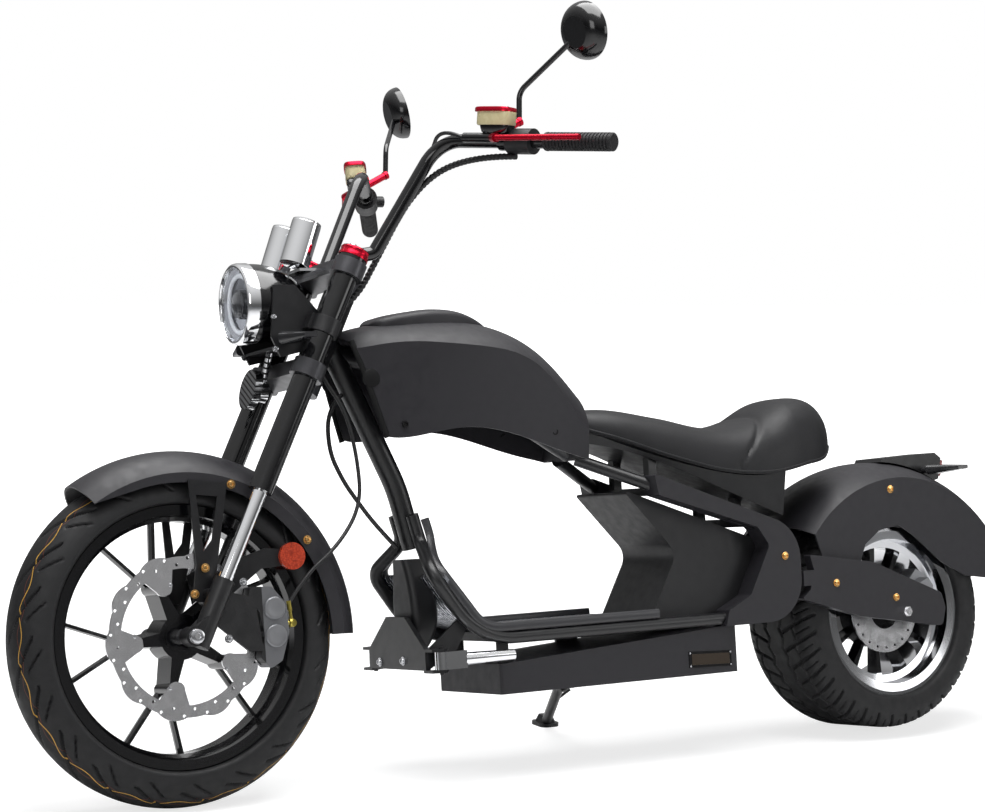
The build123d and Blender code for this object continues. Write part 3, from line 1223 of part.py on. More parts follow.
MIRROR_DIA = 105.0
MIRROR_TURN = Vector(0.95, 0.2, -0.2).normalized()      # from the left glass into its housing
MIRROR_CENTRE = Vector(848, 378, 1315)
with BuildPart() as mirrors:
    for side in (1, -1):
        into = mirrored(side, MIRROR_TURN)
        centre = mirrored(side, MIRROR_CENTRE)
        root = on_bar(side, PERCH_START + 32, -48, 36)
        bend = mirrored(side, Vector(938, 278, 1222))
        add(swept_tube([root, bend, centre + into * 12], 30, 10))
        with BuildSketch(Plane(origin=centre, z_dir=into)):
            Circle(MIRROR_DIA / 2)
        with BuildSketch(Plane(origin=centre + into * 14, z_dir=into)):
            Circle(MIRROR_DIA / 2 - 3)
        with BuildSketch(Plane(origin=centre + into * 30, z_dir=into)):
            Circle(MIRROR_DIA / 2 - 24)
        loft()
    add(brake_masters.part, mode=Mode.SUBTRACT)

# Hose to the front caliper and the wrapped loom, behind the left fork leg; cable on the down tube
HOSE_DIA = 7.0
LOOM_DIA = 11.0
CABLE_DIA = 8.0
with BuildPart() as front_brake_hose:
    route = [
        on_bar(1, PERCH_START - 14, 26, 6), on_bar(1, PERCH_START - 60, 30, 26), Vector(1040, 112, 1132),
        in_fork(2, 58, 1066), in_fork(2, 54, 1000), in_fork(24, 50, 950), in_fork(24, 50, 890),
        in_fork(3, 57, 838), Vector(1222, 64, 679), Vector(1206, 66, 588), Vector(1208, 72, 506),
        Vector(1262, 84, 437), Vector(1335, 86, 385), Vector(1366, 84, 340),
    ]
    add(swept_tube(route, [12, 20, 24, 18, 16, 16, 20, 40, 40, 50, 40, 20], HOSE_DIA))
    add(brake_masters.part, mode=Mode.SUBTRACT)
    add(front_caliper.part, mode=Mode.SUBTRACT)
with BuildPart() as control_loom:
    route = [
        on_bar(1, POD_START + 12, 3, -27), on_bar(1, 60, 3, -27), Vector(1080, 118, 1075),
        in_fork(-14, 72, 1062), in_fork(-10, 66, 1005), in_fork(14, 60, 950), in_fork(14, 60, 884),
    ]
    add(swept_tube(route, [30, 24, 30, 20, 20], LOOM_DIA))
    add(switch_housings.part, mode=Mode.SUBTRACT)
with BuildPart() as frame_cable:
    route = [
        (1190, 0, 716), (1226, 0, 690), (1229, 0, 612), (1203, 0, 556), (1176, 0, 518),
        (1139, 0, 470), (1098, 0, 428),
    ]
    add(swept_tube(route, [14, 40, 30, 30, 30], CABLE_DIA))
    add(frame_spine.part, mode=Mode.SUBTRACT)
    add(foot_shroud.part, mode=Mode.SUBTRACT)

# Every piece in its place, with the origin on the ground under the middle of the whole
FRAME_PIECES = {
    "frame_spine": frame_spine.part, "rail_left": rail_left, "rail_right": rail_right,
    "cross_members": cross_members.part, "floorboard": floorboard.part,
    "peg_bracket": peg_bracket.part, "foot_shroud": foot_shroud.part,
    "battery_box": battery_box.part, "tank_cover": tank_cover.part, "tank_lid": tank_lid.part,
    "seat": seat.part, "seat_base": seat_base.part, "under_seat_panel": under_seat_panel.part,
    "side_covers": side_covers.part, "rear_fender": rear_fender.part,
    "tail_bracket": tail_bracket.part, "tail_lamp": tail_lamp.part,
    "rear_signals": rear_signals.part, "swingarm": swingarm.part, "rear_axle": rear_axle.part,
    "rear_caliper": rear_caliper.part, "stand_bracket": stand_bracket.part,
    "frame_cable": frame_cable.part, "side_stand": side_stand.part,
    "foot_peg_left": foot_peg_left, "foot_peg_right": foot_peg_right,
    "rear_tyre": rear_tyre, "rear_rim": rear_rim.part, "rear_disc": rear_disc.part,
}
STEERED_PIECES = {
    "triple_clamps": triple_clamps.part, "fork_tubes": fork_tubes.part,
    "fork_stanchions": fork_stanchions.part, "fork_castings": fork_castings.part,
    "front_axle": front_axle.part, "front_fender": front_fender.part,
    "fender_brackets": fender_brackets.part, "reflectors": reflectors.part,
    "front_caliper": front_caliper.part, "headlight": headlight.part,
    "headlight_lens": headlight_lens.part, "lamp_bracket": lamp_bracket.part,
    "gauges": gauges.part, "horn": horn.part, "front_signals": front_signals.part,
    "handlebar": handlebar.part, "grips": grips.part, "switch_housings": switch_housings.part,
    "brake_masters": brake_masters.part, "brake_levers": brake_levers.part,
    "mirrors": mirrors.part, "front_brake_hose": front_brake_hose.part,
    "control_loom": control_loom.part,
    "front_tyre": front_tyre, "front_rim": front_rim.part, "front_disc": front_disc.part,
}
placed = {name: PARKED * piece for name, piece in FRAME_PIECES.items()}
for name, piece in STEERED_PIECES.items():
    placed[name] = PARKED * piece.rotate(STEERING_AXIS, STEER)
whole = Compound(list(placed.values())).bounding_box()
CENTRING = Pos(-whole.center().X, -whole.center().Y, 0)
for name, piece in placed.items():
    piece = CENTRING * piece
    piece.label = name
    export_step(piece, f"parts/{name}.step")
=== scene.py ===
import json
from math import cos, pi, radians, sin

import bpy
import numpy as np
from mathutils import Matrix, Vector


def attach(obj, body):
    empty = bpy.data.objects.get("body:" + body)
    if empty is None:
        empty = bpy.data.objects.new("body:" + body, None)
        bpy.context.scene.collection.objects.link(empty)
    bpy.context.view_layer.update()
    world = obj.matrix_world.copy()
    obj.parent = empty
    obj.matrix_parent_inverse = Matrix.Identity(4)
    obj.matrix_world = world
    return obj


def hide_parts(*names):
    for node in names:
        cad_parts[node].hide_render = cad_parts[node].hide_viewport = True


# An electric chopper scooter on its side stand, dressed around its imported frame.
# Places on the scooter are millimetres on an upright scooter whose rear tyre meets the ground
# at the origin, X forward, Y to the rider's left, Z up. Lights are placed in the row frame.
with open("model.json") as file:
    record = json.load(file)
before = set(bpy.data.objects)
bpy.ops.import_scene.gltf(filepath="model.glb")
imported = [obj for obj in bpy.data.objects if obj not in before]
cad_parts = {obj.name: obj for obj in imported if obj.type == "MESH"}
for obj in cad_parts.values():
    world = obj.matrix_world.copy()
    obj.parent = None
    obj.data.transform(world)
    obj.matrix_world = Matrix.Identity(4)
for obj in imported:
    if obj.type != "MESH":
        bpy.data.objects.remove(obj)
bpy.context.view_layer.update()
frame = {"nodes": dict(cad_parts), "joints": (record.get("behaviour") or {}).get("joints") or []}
nodes = frame["nodes"]
joints = {joint["name"]: joint for joint in frame["joints"]}
MM = 0.001


# Stance. The scooter leans onto its stand with the bars slightly turned.
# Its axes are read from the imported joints: rear axle, a foot peg's upright pin, steering stem
# and front axle. UPRIGHT places frame pieces and STEERED places what turns with the bars.
REAR_RADIUS = 236.0
FRONT_RADIUS = 296.0
WHEELBASE = 1555.0
RAKE = radians(27)
TRAIL = 90.0
LEG_LEAD = 37.5
LEG_SPREAD = 98.0


def axes_from(centre, side, up, tilt, known):
    """4 by 4 matrix from upright millimetres to row metres.

    side is the scooter's Y, up a direction tilt radians back from its Z, and known the upright
    point that lies at centre.
    """
    side = np.array(side) / np.linalg.norm(side)
    up = np.array(up) - np.dot(up, side) * side
    up = up / np.linalg.norm(up)
    ahead = np.cross(side, up)
    x_axis = cos(tilt) * ahead - sin(tilt) * up
    z_axis = sin(tilt) * ahead + cos(tilt) * up
    turn = np.column_stack([x_axis, side, z_axis])
    place = np.eye(4)
    place[:3, :3] = turn * MM
    place[:3, 3] = np.array(centre) - turn @ np.array(known) * MM
    return place


UPRIGHT = axes_from(
    joints["rear_wheel_spin"]["pos_m"], joints["rear_wheel_spin"]["axis"],
    joints["left_peg_fold"]["axis"], 0.0, (0, 0, REAR_RADIUS),
)
STEERED = axes_from(
    joints["front_wheel_spin"]["pos_m"], joints["front_wheel_spin"]["axis"],
    joints["steering"]["axis"], RAKE, (WHEELBASE, 0, FRONT_RADIUS),
)


def placed(points, axes):
    """Upright millimetre points, one per row, as row metres."""
    return np.asarray(points, float) @ axes[:3, :3].T + axes[:3, 3]


def in_fork(lead, side, up):
    """Point given across and along the steering axis, as upright millimetres."""
    x = WHEELBASE + TRAIL + lead * cos(RAKE) - up * sin(RAKE)
    return np.array([x, side, lead * sin(RAKE) + up * cos(RAKE)])


# Studio. The camera stands ahead of the scooter's left side with a long lens, as in the
# photograph. Pale floor, white surroundings to the eye, soft boxes above and beside.
CAMERA_AT = (3424.2, 4104.0, 499.1)
CAMERA_YAW = radians(-121.869)
CAMERA_PITCH = radians(2.179)
CAMERA_ROLL = radians(-3.114)
LENS_MM = 93.35
SENSOR_MM = 36.0


def camera_matrix(axes):
    """Camera placement: look along yaw and pitch, turn the picture by roll, then follow axes."""
    look = np.array([
        cos(CAMERA_YAW) * cos(CAMERA_PITCH), sin(CAMERA_YAW) * cos(CAMERA_PITCH), sin(CAMERA_PITCH),
    ])
    level = np.cross(look, (0, 0, 1))
    level /= np.linalg.norm(level)
    above = np.cross(level, look)
    right = cos(CAMERA_ROLL) * level + sin(CAMERA_ROLL) * above
    top = cos(CAMERA_ROLL) * above - sin(CAMERA_ROLL) * level
    turn = axes[:3, :3] / MM @ np.column_stack([right, top, -look])
    whole = Matrix(turn.tolist()).to_4x4()
    whole.translation = placed([CAMERA_AT], axes)[0]
    return whole


def srgb(code):
    """A colour written as sRGB hex, in the linear values that the shaders use."""
    channels = [int(code[at:at + 2], 16) / 255 for at in (1, 3, 5)]
    return [c / 12.92 if c <= 0.04045 else ((c + 0.055) / 1.055) ** 2.4 for c in channels] + [1.0]


def set_inputs(tree, node, inputs):
    """Links a node's inputs to sockets, or sets them to plain values."""
    for name, value in inputs.items():
        if isinstance(value, bpy.types.NodeSocket):
            tree.links.new(value, node.inputs[name])
        else:
            node.inputs[name].default_value = value


def add_node(tree, kind, inputs=None, **settings):
    """A new shader node with these inputs and properties."""
    made = tree.nodes.new(kind)
    for name, value in settings.items():
        setattr(made, name, value)
    set_inputs(tree, made, inputs or {})
    return made


def math_node(tree, operation, first, second=0.0):
    """One Math node's output."""
    return add_node(tree, "ShaderNodeMath", {0: first, 1: second}, operation=operation).outputs[0]


def components(tree, vector):
    """The X, Y and Z outputs of a shader vector."""
    return add_node(tree, "ShaderNodeSeparateXYZ", {0: vector}).outputs


def ranged(tree, value, low, high, start=0.0, stop=1.0):
    """Goes from low to high while the value goes from start to stop."""
    return add_node(
        tree, "ShaderNodeMapRange",
        {"Value": value, "From Min": start, "From Max": stop, "To Min": low, "To Max": high},
    ).outputs[0]


def mix_shaders(tree, share, first, second):
    """The first shader where share is 0, the second where it is 1."""
    return add_node(tree, "ShaderNodeMixShader", {0: share, 1: first, 2: second}).outputs[0]


def new_material(name):
    """A material, its node tree and its Principled shader."""
    material = bpy.data.materials.new(name)
    material.use_nodes = True
    tree = material.node_tree
    return material, tree, tree.nodes["Principled BSDF"]


def in_scene(name, data):
    """A new object of this data, in the scene."""
    made = bpy.data.objects.new(name, data)
    bpy.context.scene.collection.objects.link(made)
    return made


def studio_world():
    """World: soft light, white to the camera, and to reflections brighter above than level."""
    world = bpy.data.worlds.new("studio_surroundings")
    bpy.context.scene.world = world
    world.use_nodes = True
    tree = world.node_tree
    tree.nodes.clear()
    direction = add_node(tree, "ShaderNodeTexCoord").outputs["Generated"]
    rise = ranged(tree, components(tree, direction)["Z"], 0.1, 0.75, 0.05, 0.7)
    soft, mirrored, white = (
        add_node(
            tree, "ShaderNodeBackground", {"Color": srgb(colour), "Strength": strength},
        ).outputs[0]
        for colour, strength in (("#F4F6FA", 0.15), ("#FFFFFF", rise), ("#FFFFFF", 1.0))
    )
    path = add_node(tree, "ShaderNodeLightPath").outputs
    clear = math_node(tree, "MAXIMUM", path["Is Camera Ray"], path["Is Transmission Ray"])
    lit = mix_shaders(tree, path["Is Glossy Ray"], soft, mirrored)
    add_node(tree, "ShaderNodeOutputWorld", {"Surface": mix_shaders(tree, clear, lit, white)})


def pale_floor():
    """A wide matt floor that keeps the soft shadow and fades to white away from the scooter."""
    half = 14.0
    mesh = bpy.data.meshes.new("floor")
    corners = [(-half, -half, 0), (half, -half, 0), (half, half, 0), (-half, half, 0)]
    mesh.from_pydata(corners, [], [(0, 1, 2, 3)])
    floor = in_scene("floor", mesh)
    material, tree, _ = new_material("white_studio_paper")
    tree.nodes.clear()
    paper = add_node(tree, "ShaderNodeBsdfDiffuse", {"Color": srgb("#F2F2F2")}).outputs[0]
    glow = add_node(
        tree, "ShaderNodeEmission", {"Color": srgb("#FFFFFF"), "Strength": 1.75},
    ).outputs[0]
    camera_ray = add_node(tree, "ShaderNodeLightPath").outputs["Is Camera Ray"]
    place = add_node(tree, "ShaderNodeTexCoord").outputs["Object"]
    away = add_node(tree, "ShaderNodeVectorMath", {0: place}, operation="LENGTH").outputs["Value"]
    share = math_node(tree, "MULTIPLY", camera_ray, ranged(tree, away, 0.42, 1.0, 1.3, 3.4))
    add_node(tree, "ShaderNodeOutputMaterial", {"Surface": mix_shaders(tree, share, paper, glow)})
    mesh.materials.append(material)


def soft_box(name, at, aim, size, watts):
    """A square soft box at a point in metres, turned to aim at another."""
    light = bpy.data.lights.new(name, "AREA")
    light.shape = "SQUARE"
    light.size = size
    light.energy = watts
    lamp = in_scene(name, light)
    facing = (Vector(aim) - Vector(at)).to_track_quat("-Z", "Y").to_matrix().to_4x4()
    lamp.matrix_world = Matrix.Translation(at) @ facing


camera_data = bpy.data.cameras.new("camera")
camera_data.sensor_fit = "HORIZONTAL"
camera_data.sensor_width = SENSOR_MM
camera_data.lens = LENS_MM
camera_data.clip_end = 60.0
camera = in_scene("camera", camera_data)
camera.matrix_world = camera_matrix(UPRIGHT)
bpy.context.scene.camera = camera
bpy.context.scene.view_settings.view_transform = "Standard"
studio_world()
pale_floor()
soft_box("overhead_box", (0.1, 0.3, 3.4), (0.0, 0.1, 0.4), 3.0, 190.0)
soft_box("front_left_box", (3.0, 2.4, 1.8), (0.3, 0.0, 0.5), 1.4, 18.0)
soft_box("rear_left_box", (-2.6, 2.8, 1.5), (-0.4, 0.0, 0.5), 1.4, 16.0)


# Hoses and cables. Black rubber brake hose down behind the left leg, the loom wrapped in a
# spiral band along the left bar, and the lead from the head to the moulded shroud.
BAR_KNEE = np.array([1048.0, 166.0, 1152.0])
BAR_END = np.array([883.0, 490.0, 1093.0])
bar_out = (BAR_END - BAR_KNEE) / np.linalg.norm(BAR_END - BAR_KNEE)
BODY_AXES = {
    "scooter_frame": UPRIGHT, "rear_wheel": UPRIGHT, "front_fork": STEERED, "front_wheel": STEERED,
}
HOSE_SIDES = 12
RING_STEP, WRAPPED_RING_STEP = 0.004, 0.0016
WRAP_PITCH = 0.009


def mix_colours(tree, share, first, second):
    """The first colour where share is 0, the second where it is 1."""
    return add_node(
        tree, "ShaderNodeMix", {0: share, 6: first, 7: second}, data_type="RGBA",
    ).outputs[2]


def noise(tree, place, scale, detail=2.0):
    """Cloudy pattern from 0 to 1, about 1 / scale across."""
    return add_node(
        tree, "ShaderNodeTexNoise", {"Vector": place, "Scale": scale, "Detail": detail},
    ).outputs["Fac"]


def add_bump(tree, shader, height, depth_mm, **settings):
    """Relief on the shader, depth_mm from height 0 to height 1."""
    inputs = {"Height": height, "Distance": depth_mm * MM}
    bump = add_node(tree, "ShaderNodeBump", inputs, **settings).outputs[0]
    set_inputs(tree, shader, {"Normal": bump})


def finish(
    name, colour, roughness, metallic=0.0, grain_mm=1.0, depth_mm=0.0, mottle=0.06, coat=0.0,
    specular=0.5, second=None, mask=None,
):
    """A painted, moulded or machined finish, uneven in palm and fingertip sizes.

    Its colour varies by the share mottle, and grains grain_mm wide stand depth_mm high. second
    is a colour, roughness and metalness shown where mask, a function that builds a shader value
    in the material's tree, gives 1.
    """
    material, tree, shader = new_material(name)
    place = add_node(tree, "ShaderNodeTexCoord").outputs["Object"]
    tint = srgb(colour)[:3]
    darker = [c * (1 - mottle) for c in tint] + [1.0]
    lighter = [min(1.0, c * (1 + mottle)) for c in tint] + [1.0]
    base = mix_colours(tree, noise(tree, place, 14.0, 3.0), darker, lighter)
    rough = ranged(
        tree, noise(tree, place, 60.0, 4.0), roughness * 0.86, min(1.0, roughness * 1.14), 0.3, 0.7,
    )
    if not metallic:
        set_inputs(tree, shader, {"Specular IOR Level": specular})
    metal = metallic
    if second:
        where = mask(tree)
        base = mix_colours(tree, where, base, srgb(second[0]))
        rough, metal = (
            add_node(tree, "ShaderNodeMix", {0: where, 2: inner, 3: outer}).outputs[0]
            for inner, outer in ((rough, second[1]), (metallic, second[2]))
        )
    set_inputs(
        tree, shader,
        {"Base Color": base, "Roughness": rough, "Metallic": metal, "Coat Weight": coat},
    )
    if depth_mm:
        add_bump(tree, shader, noise(tree, place, 1 / (grain_mm * MM)), depth_mm)
    return material


def piece_from(name, shape, material, body="front_fork", uv=None, in_metres=False):
    """A mesh piece that rides on a body; shape is its upright millimetre points and its faces."""
    points, faces = shape
    if not in_metres:
        points = placed(points, BODY_AXES[body])
    mesh = bpy.data.meshes.new(name)
    mesh.from_pydata(np.asarray(points, float).tolist(), [], faces)
    mesh.materials.append(material)
    mesh.polygons.foreach_set("use_smooth", [True] * len(mesh.polygons))
    mesh.set_sharp_from_angle(angle=radians(38))
    if uv is not None:
        layer = mesh.uv_layers.new(name="pattern_mm")
        layer.data.foreach_set("uv", np.asarray(uv, float).ravel())
    mesh.update()
    piece = in_scene(name, mesh)
    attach(piece, body)
    return piece


def tube_faces(rings, count, closed):
    """Quads of a tube of rings with count points each; its ends are capped unless closed."""
    faces = []
    for i in range(rings if closed else rings - 1):
        n = (i + 1) % rings
        for j in range(count):
            k = (j + 1) % count
            faces.append((i * count + j, i * count + k, n * count + k, n * count + j))
    if not closed:
        faces.append(tuple(range(count))[::-1])
        faces.append(tuple(range((rings - 1) * count, rings * count)))
    return faces


def smooth_step(value):
    """0 below 0, 1 above 1, and a smooth rise between."""
    value = np.clip(value, 0, 1)
    return value * value * (3 - 2 * value)


def routed(route, axes, samples):
    """Points along the route's clamped quadratic NURBS curve, as Blender makes it."""
    curve = bpy.data.curves.new("route", "CURVE")
    curve.dimensions = "3D"
    spline = curve.splines.new("NURBS")
    spline.points.add(len(route) - 1)
    for point, at in zip(spline.points, placed(route, axes)):
        point.co = (*at, 1.0)
    spline.order_u = 3
    spline.use_endpoint_u = True
    spline.resolution_u = samples
    line = bpy.data.objects.new("route", curve)
    mesh = bpy.data.meshes.new_from_object(line)
    points = np.array([vertex.co[:] for vertex in mesh.vertices])
    bpy.data.objects.remove(line)
    bpy.data.curves.remove(curve)
    bpy.data.meshes.remove(mesh)
    return points


def hose(name, route, body, radius, replaced, wrap=0.0):
    """A round hose along its route; wrap adds a spiral band of that height every 9 mm.

    Rings of points are carried along the path without twisting. The band's height is
    wrap * s(2 cos(2 pi (run / 9 mm - angle / 2 pi)) + 1.2), s a smooth 0 to 1 step.
    """
    path = routed(route, BODY_AXES[body], 14)
    run = np.concatenate([[0], np.cumsum(np.linalg.norm(np.diff(path, axis=0), axis=1))])
    fine = np.append(np.arange(0, run[-1], WRAPPED_RING_STEP if wrap else RING_STEP), run[-1])
    path = np.column_stack([np.interp(fine, run, path[:, k]) for k in range(3)])
    tangent = np.gradient(path, axis=0)
    tangent /= np.linalg.norm(tangent, axis=1)[:, None]
    turn = np.arange(HOSE_SIDES) * 2 * pi / HOSE_SIDES
    phase = fine[:, None] / WRAP_PITCH - turn[None] / (2 * pi)
    reach = (radius + wrap * smooth_step(np.cos(2 * pi * phase) * 2 + 1.2)) * MM
    across = np.cross(tangent[0], (0.2, 0.4, 0.9))
    rings = []
    for at, ahead, out in zip(path, tangent, reach):
        across = across - ahead * (across @ ahead)
        across /= np.linalg.norm(across)
        square = np.cross(ahead, across)
        ring = np.cos(turn)[:, None] * across + np.sin(turn)[:, None] * square
        rings.append(at + out[:, None] * ring)
    shape = np.concatenate(rings), tube_faces(len(path), HOSE_SIDES, False)
    piece = piece_from(name, shape, hose_rubber, body, in_metres=True)
    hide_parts(replaced)


def on_bar(along, x=0.0, z=0.0):
    """Point a given way along the left bar's outer run, moved forward and up."""
    return BAR_KNEE + bar_out * along + np.array([x, 0, z])


hose_rubber = finish("hose_rubber", "#0F0F11", 0.42, 0.0, 0.8, 0.02, 0.08)
hose(
    "front_brake_line",
    [on_bar(82, 26, 6), on_bar(36, 30, 26), (1040, 112, 1132), in_fork(2, 58, 1066),
     in_fork(2, 54, 1000), in_fork(24, 50, 950), in_fork(24, 50, 890), in_fork(3, 57, 838),
     (1222, 64, 679), (1206, 66, 588), (1208, 72, 506), (1262, 84, 437), (1335, 86, 385),
     (1366, 84, 340)],
    "front_fork", 3.5, "front_brake_hose",
)
hose(
    "wrapped_loom",
    [on_bar(170, 3, -27), on_bar(60, 3, -27), (1080, 118, 1075), in_fork(-14, 72, 1062),
     in_fork(-10, 66, 1005), in_fork(14, 60, 950), in_fork(14, 60, 884)],
    "front_fork", 5.0, "control_loom", 0.9,
)
hose(
    "shroud_lead",
    [(1190, 0, 716), (1226, 0, 690), (1229, 0, 612), (1203, 0, 556), (1176, 0, 518),
     (1139, 0, 470), (1098, 0, 428)],
    "scooter_frame", 4.0, "frame_cable",
)


# Painted, plated and moulded parts whose shape the CAD already holds. Each gets the finish
# of the real part; patterns on them are placed in the scooter's own millimetres.
def dress(material, *names):
    """Gives CAD nodes a finish."""
    for name in names:
        mesh = nodes[name].data
        mesh.materials.clear()
        mesh.materials.append(material)


def scooter_mm(tree, axes):
    """Shader vector: where the surface is, in upright millimetres of the given axes."""
    turn = axes[:3, :3] / MM
    away = -(turn.T @ axes[:3, 3]) / MM
    return add_node(
        tree, "ShaderNodeMapping",
        {"Vector": add_node(tree, "ShaderNodeTexCoord").outputs["Object"], "Scale": (1 / MM,) * 3,
         "Rotation": Matrix(turn.T.tolist()).to_euler(), "Location": tuple(away)},
        vector_type="POINT",
    ).outputs[0]


# steel tube, rails and brackets: satin black powder coat
dress(finish("satin_powder_coat", "#131315", 0.34, 0.0, 1.6, 0.03, 0.05),
      "frame_spine", "rail_left", "rail_right", "cross_members", "peg_bracket",
      "stand_bracket", "lamp_bracket", "tail_bracket", "fender_brackets", "side_stand")
# tank, fenders, covers, box and swingarm: dead matt charcoal paint
matt_paint = finish("matt_charcoal_paint", "#1F1E22", 0.48, 0.0, 0.8, 0.012, 0.05, 0.0, 0.4)
dress(matt_paint, "tank_cover", "tank_lid", "side_covers", "rear_fender", "front_fender",
      "battery_box", "swingarm")
# shroud, seat base, panel and switch housings: lightly grained black ABS
dress(finish("grained_abs", "#151517", 0.46, 0.0, 1.2, 0.05, 0.05, 0.0, 0.42),
      "foot_shroud", "seat_base", "under_seat_panel", "switch_housings")
# fork tubes, handlebar, front rim, mirror shells and lamp bucket: gloss black paint
gloss_black = finish("gloss_black_paint", "#08080A", 0.16, 0.0, 3.0, 0.0, 0.04, 0.25)
dress(gloss_black, "fork_tubes", "handlebar", "front_rim", "mirrors", "headlight")
# fork castings: black paint over sand-cast aluminium
dress(finish("cast_black_paint", "#0E0E10", 0.4, 0.0, 2.2, 0.12, 0.05), "fork_castings")
# triple clamps: satin grey anodised forging
dress(finish("satin_grey_anodised_aluminium", "#4A4A4D", 0.33, 0.75, 0.9, 0.008), "triple_clamps")
# stanchions, gauge pods and pegs: bright chrome plating
chrome = finish("bright_chrome", "#F2F3F5", 0.06, 1.0, 2.0, 0.0, 0.02)
dress(chrome, "fork_stanchions", "gauges", "foot_peg_left", "foot_peg_right")
# brake discs and axles: ground steel
dress(finish("ground_steel", "#EEEEF0", 0.22, 1.0, 0.7, 0.012, 0.06),
      "front_disc", "rear_disc", "front_axle", "rear_axle")
# rear caliper: silver cast aluminium
cast_silver = finish("cast_silver_aluminium", "#8E8F92", 0.4, 0.9, 1.4, 0.06, 0.08)
dress(cast_silver, "rear_caliper")
# brake levers: red anodised aluminium
red_anodised = finish("red_anodised_aluminium", "#C00F2B", 0.26, 0.85, 0.8, 0.004, 0.05)
dress(red_anodised, "brake_levers")
# indicators: smoked lenses; tail lamp: deep red acrylic
smoked = finish("smoked_polycarbonate", "#2A2A2C", 0.1, 0.0, 2.0, 0.0, 0.1)
dress(smoked, "front_signals", "rear_signals")
dress(finish("red_acrylic", "#7A0C10", 0.12, 0.0, 2.0, 0.0, 0.1), "tail_lamp")
BLADE_RADIUS = 127.5
SLOT_PITCH = 9.5
PRISM_PITCH = 3.2


def outside_blades(tree):
    """1 farther from the rear axle than the blades, on the rim's turned barrel and lip."""
    x, _, z = components(tree, scooter_mm(tree, UPRIGHT))
    across = math_node(tree, "POWER", x, 2.0)
    rise = math_node(tree, "POWER", math_node(tree, "SUBTRACT", z, REAR_RADIUS), 2.0)
    reach = math_node(tree, "SQRT", math_node(tree, "ADD", across, rise))
    return math_node(tree, "GREATER_THAN", reach, BLADE_RADIUS)


# rear rim: gloss black blades and motor drum inside a mirror-polished deep lip
dress(finish(
    "black_blades_polished_lip", "#0C0C0E", 0.2, 0.0, 2.0, 0.0, 0.04,
    second=("#D2D3D6", 0.1, 1.0), mask=outside_blades,
), "rear_rim")


def painted_slot_shade(tree):
    """1 on the horn grille's slots between its slanted bars: dark stripes of painted shade."""
    _, y, z = components(tree, scooter_mm(tree, STEERED))
    slant = math_node(tree, "ADD", z, math_node(tree, "MULTIPLY", y, 0.5))
    wave = math_node(tree, "SINE", math_node(tree, "MULTIPLY", slant, 2 * pi / SLOT_PITCH))
    return math_node(tree, "GREATER_THAN", wave, 0.35)


# horn: chromed grille; its slots are dark stripes of painted shade on the chrome
dress(finish(
    "chromed_horn_grille", "#DADBDE", 0.12, 1.0, 2.0, 0.0, 0.02,
    second=("#101012", 0.5, 0.0), mask=painted_slot_shade,
), "horn")


def prism_acrylic():
    """Orange reflector: small moulded prisms under a smooth face, with a faint painted glow."""
    material, tree, shader = new_material("orange_prism_acrylic")
    cells = add_node(
        tree, "ShaderNodeTexVoronoi",
        {"Vector": scooter_mm(tree, STEERED), "Scale": 1 / PRISM_PITCH},
    ).outputs["Distance"]
    shade = mix_colours(tree, cells, srgb("#B43C1E"), srgb("#7C220E"))
    # The emission is a faint painted glow; the reflector is no lamp.
    set_inputs(tree, shader, {
        "Base Color": shade, "Emission Color": shade, "Emission Strength": 0.15, "Roughness": 0.12,
        "Coat Weight": 0.6,
    })
    add_bump(tree, shader, cells, 0.5)
    return material


dress(prism_acrylic(), "reflectors")


def tread_plate():
    """Bright deck plate: raised bars 26 by 9 mm in staggered rows; the plate between them is
    rougher and painted darker, painted shade in the recesses.
    """
    material, tree, shader = new_material("bright_tread_plate")
    bars_and_shade = add_node(
        tree, "ShaderNodeTexBrick",
        {"Vector": scooter_mm(tree, UPRIGHT), "Scale": 1.0, "Mortar Size": 2.6,
         "Mortar Smooth": 0.4, "Brick Width": 26.0, "Row Height": 9.0},
    ).outputs["Fac"]
    # The low plate between the bars gets a darker colour: painted shade.
    set_inputs(tree, shader, {
        "Base Color": mix_colours(tree, bars_and_shade, srgb("#C9CBD0"), srgb("#85878C")),
        "Metallic": 1.0, "Roughness": ranged(tree, bars_and_shade, 0.24, 0.46),
    })
    add_bump(tree, shader, bars_and_shade, 1.2, invert=True)
    return material


dress(tread_plate(), "floorboard")


# Tyres. Soft-compound rubber: a round front tread with long swept grooves and two fine gold
# pinstripes that cross on it, and a flat wide rear tread with zigzag and shoulder grooves.
FRONT_BLOCKS, REAR_BLOCKS = 20, 38
PINSTRIPE_WAVES = 20
PINSTRIPE_SIDE = 36.0
PINSTRIPE_SWING = 4.5
TYRE_RUBBER = ("#0E0E10", 0.6, 0.0, 1.1, 0.05, 0.12, 0.0, 0.4)


def arc(centre, radius, start, stop, count):
    """Points of an arc in the side and radius plane, angles in degrees from +side to outward."""
    turn = np.radians(np.linspace(start, stop, count))
    return np.column_stack([centre[0] + radius * np.cos(turn), centre[1] + radius * np.sin(turn)])


def stroke(run, side, pitch, slope, start, stop, width, phase):
    """1 in a repeating slanted groove: run = slope * side, every pitch, from start to stop."""
    shift = (run - slope * side) / pitch + phase
    off = np.abs(shift - np.round(shift)) * pitch / np.hypot(1, slope)
    across = smooth_step((width / 2 + 0.8 - off) / 1.6)
    return across * smooth_step((side - start) / 4) * smooth_step((stop - side) / 4)


def front_grooves(run, side):
    """Depth in mm: long strokes swept from the crown to each shoulder, short ones between."""
    half_turn = np.where(side > 0, 0.0, 0.5)
    reach = np.abs(side)
    pitch = 2 * pi * FRONT_RADIUS / FRONT_BLOCKS
    long_stroke = stroke(run, reach, pitch, 1.9, 6, 62, 4.6, half_turn)
    short_stroke = stroke(run, reach, pitch, 1.3, 44, 78, 3.4, half_turn + 0.1)
    return 4.5 * np.maximum(long_stroke, 0.8 * short_stroke)


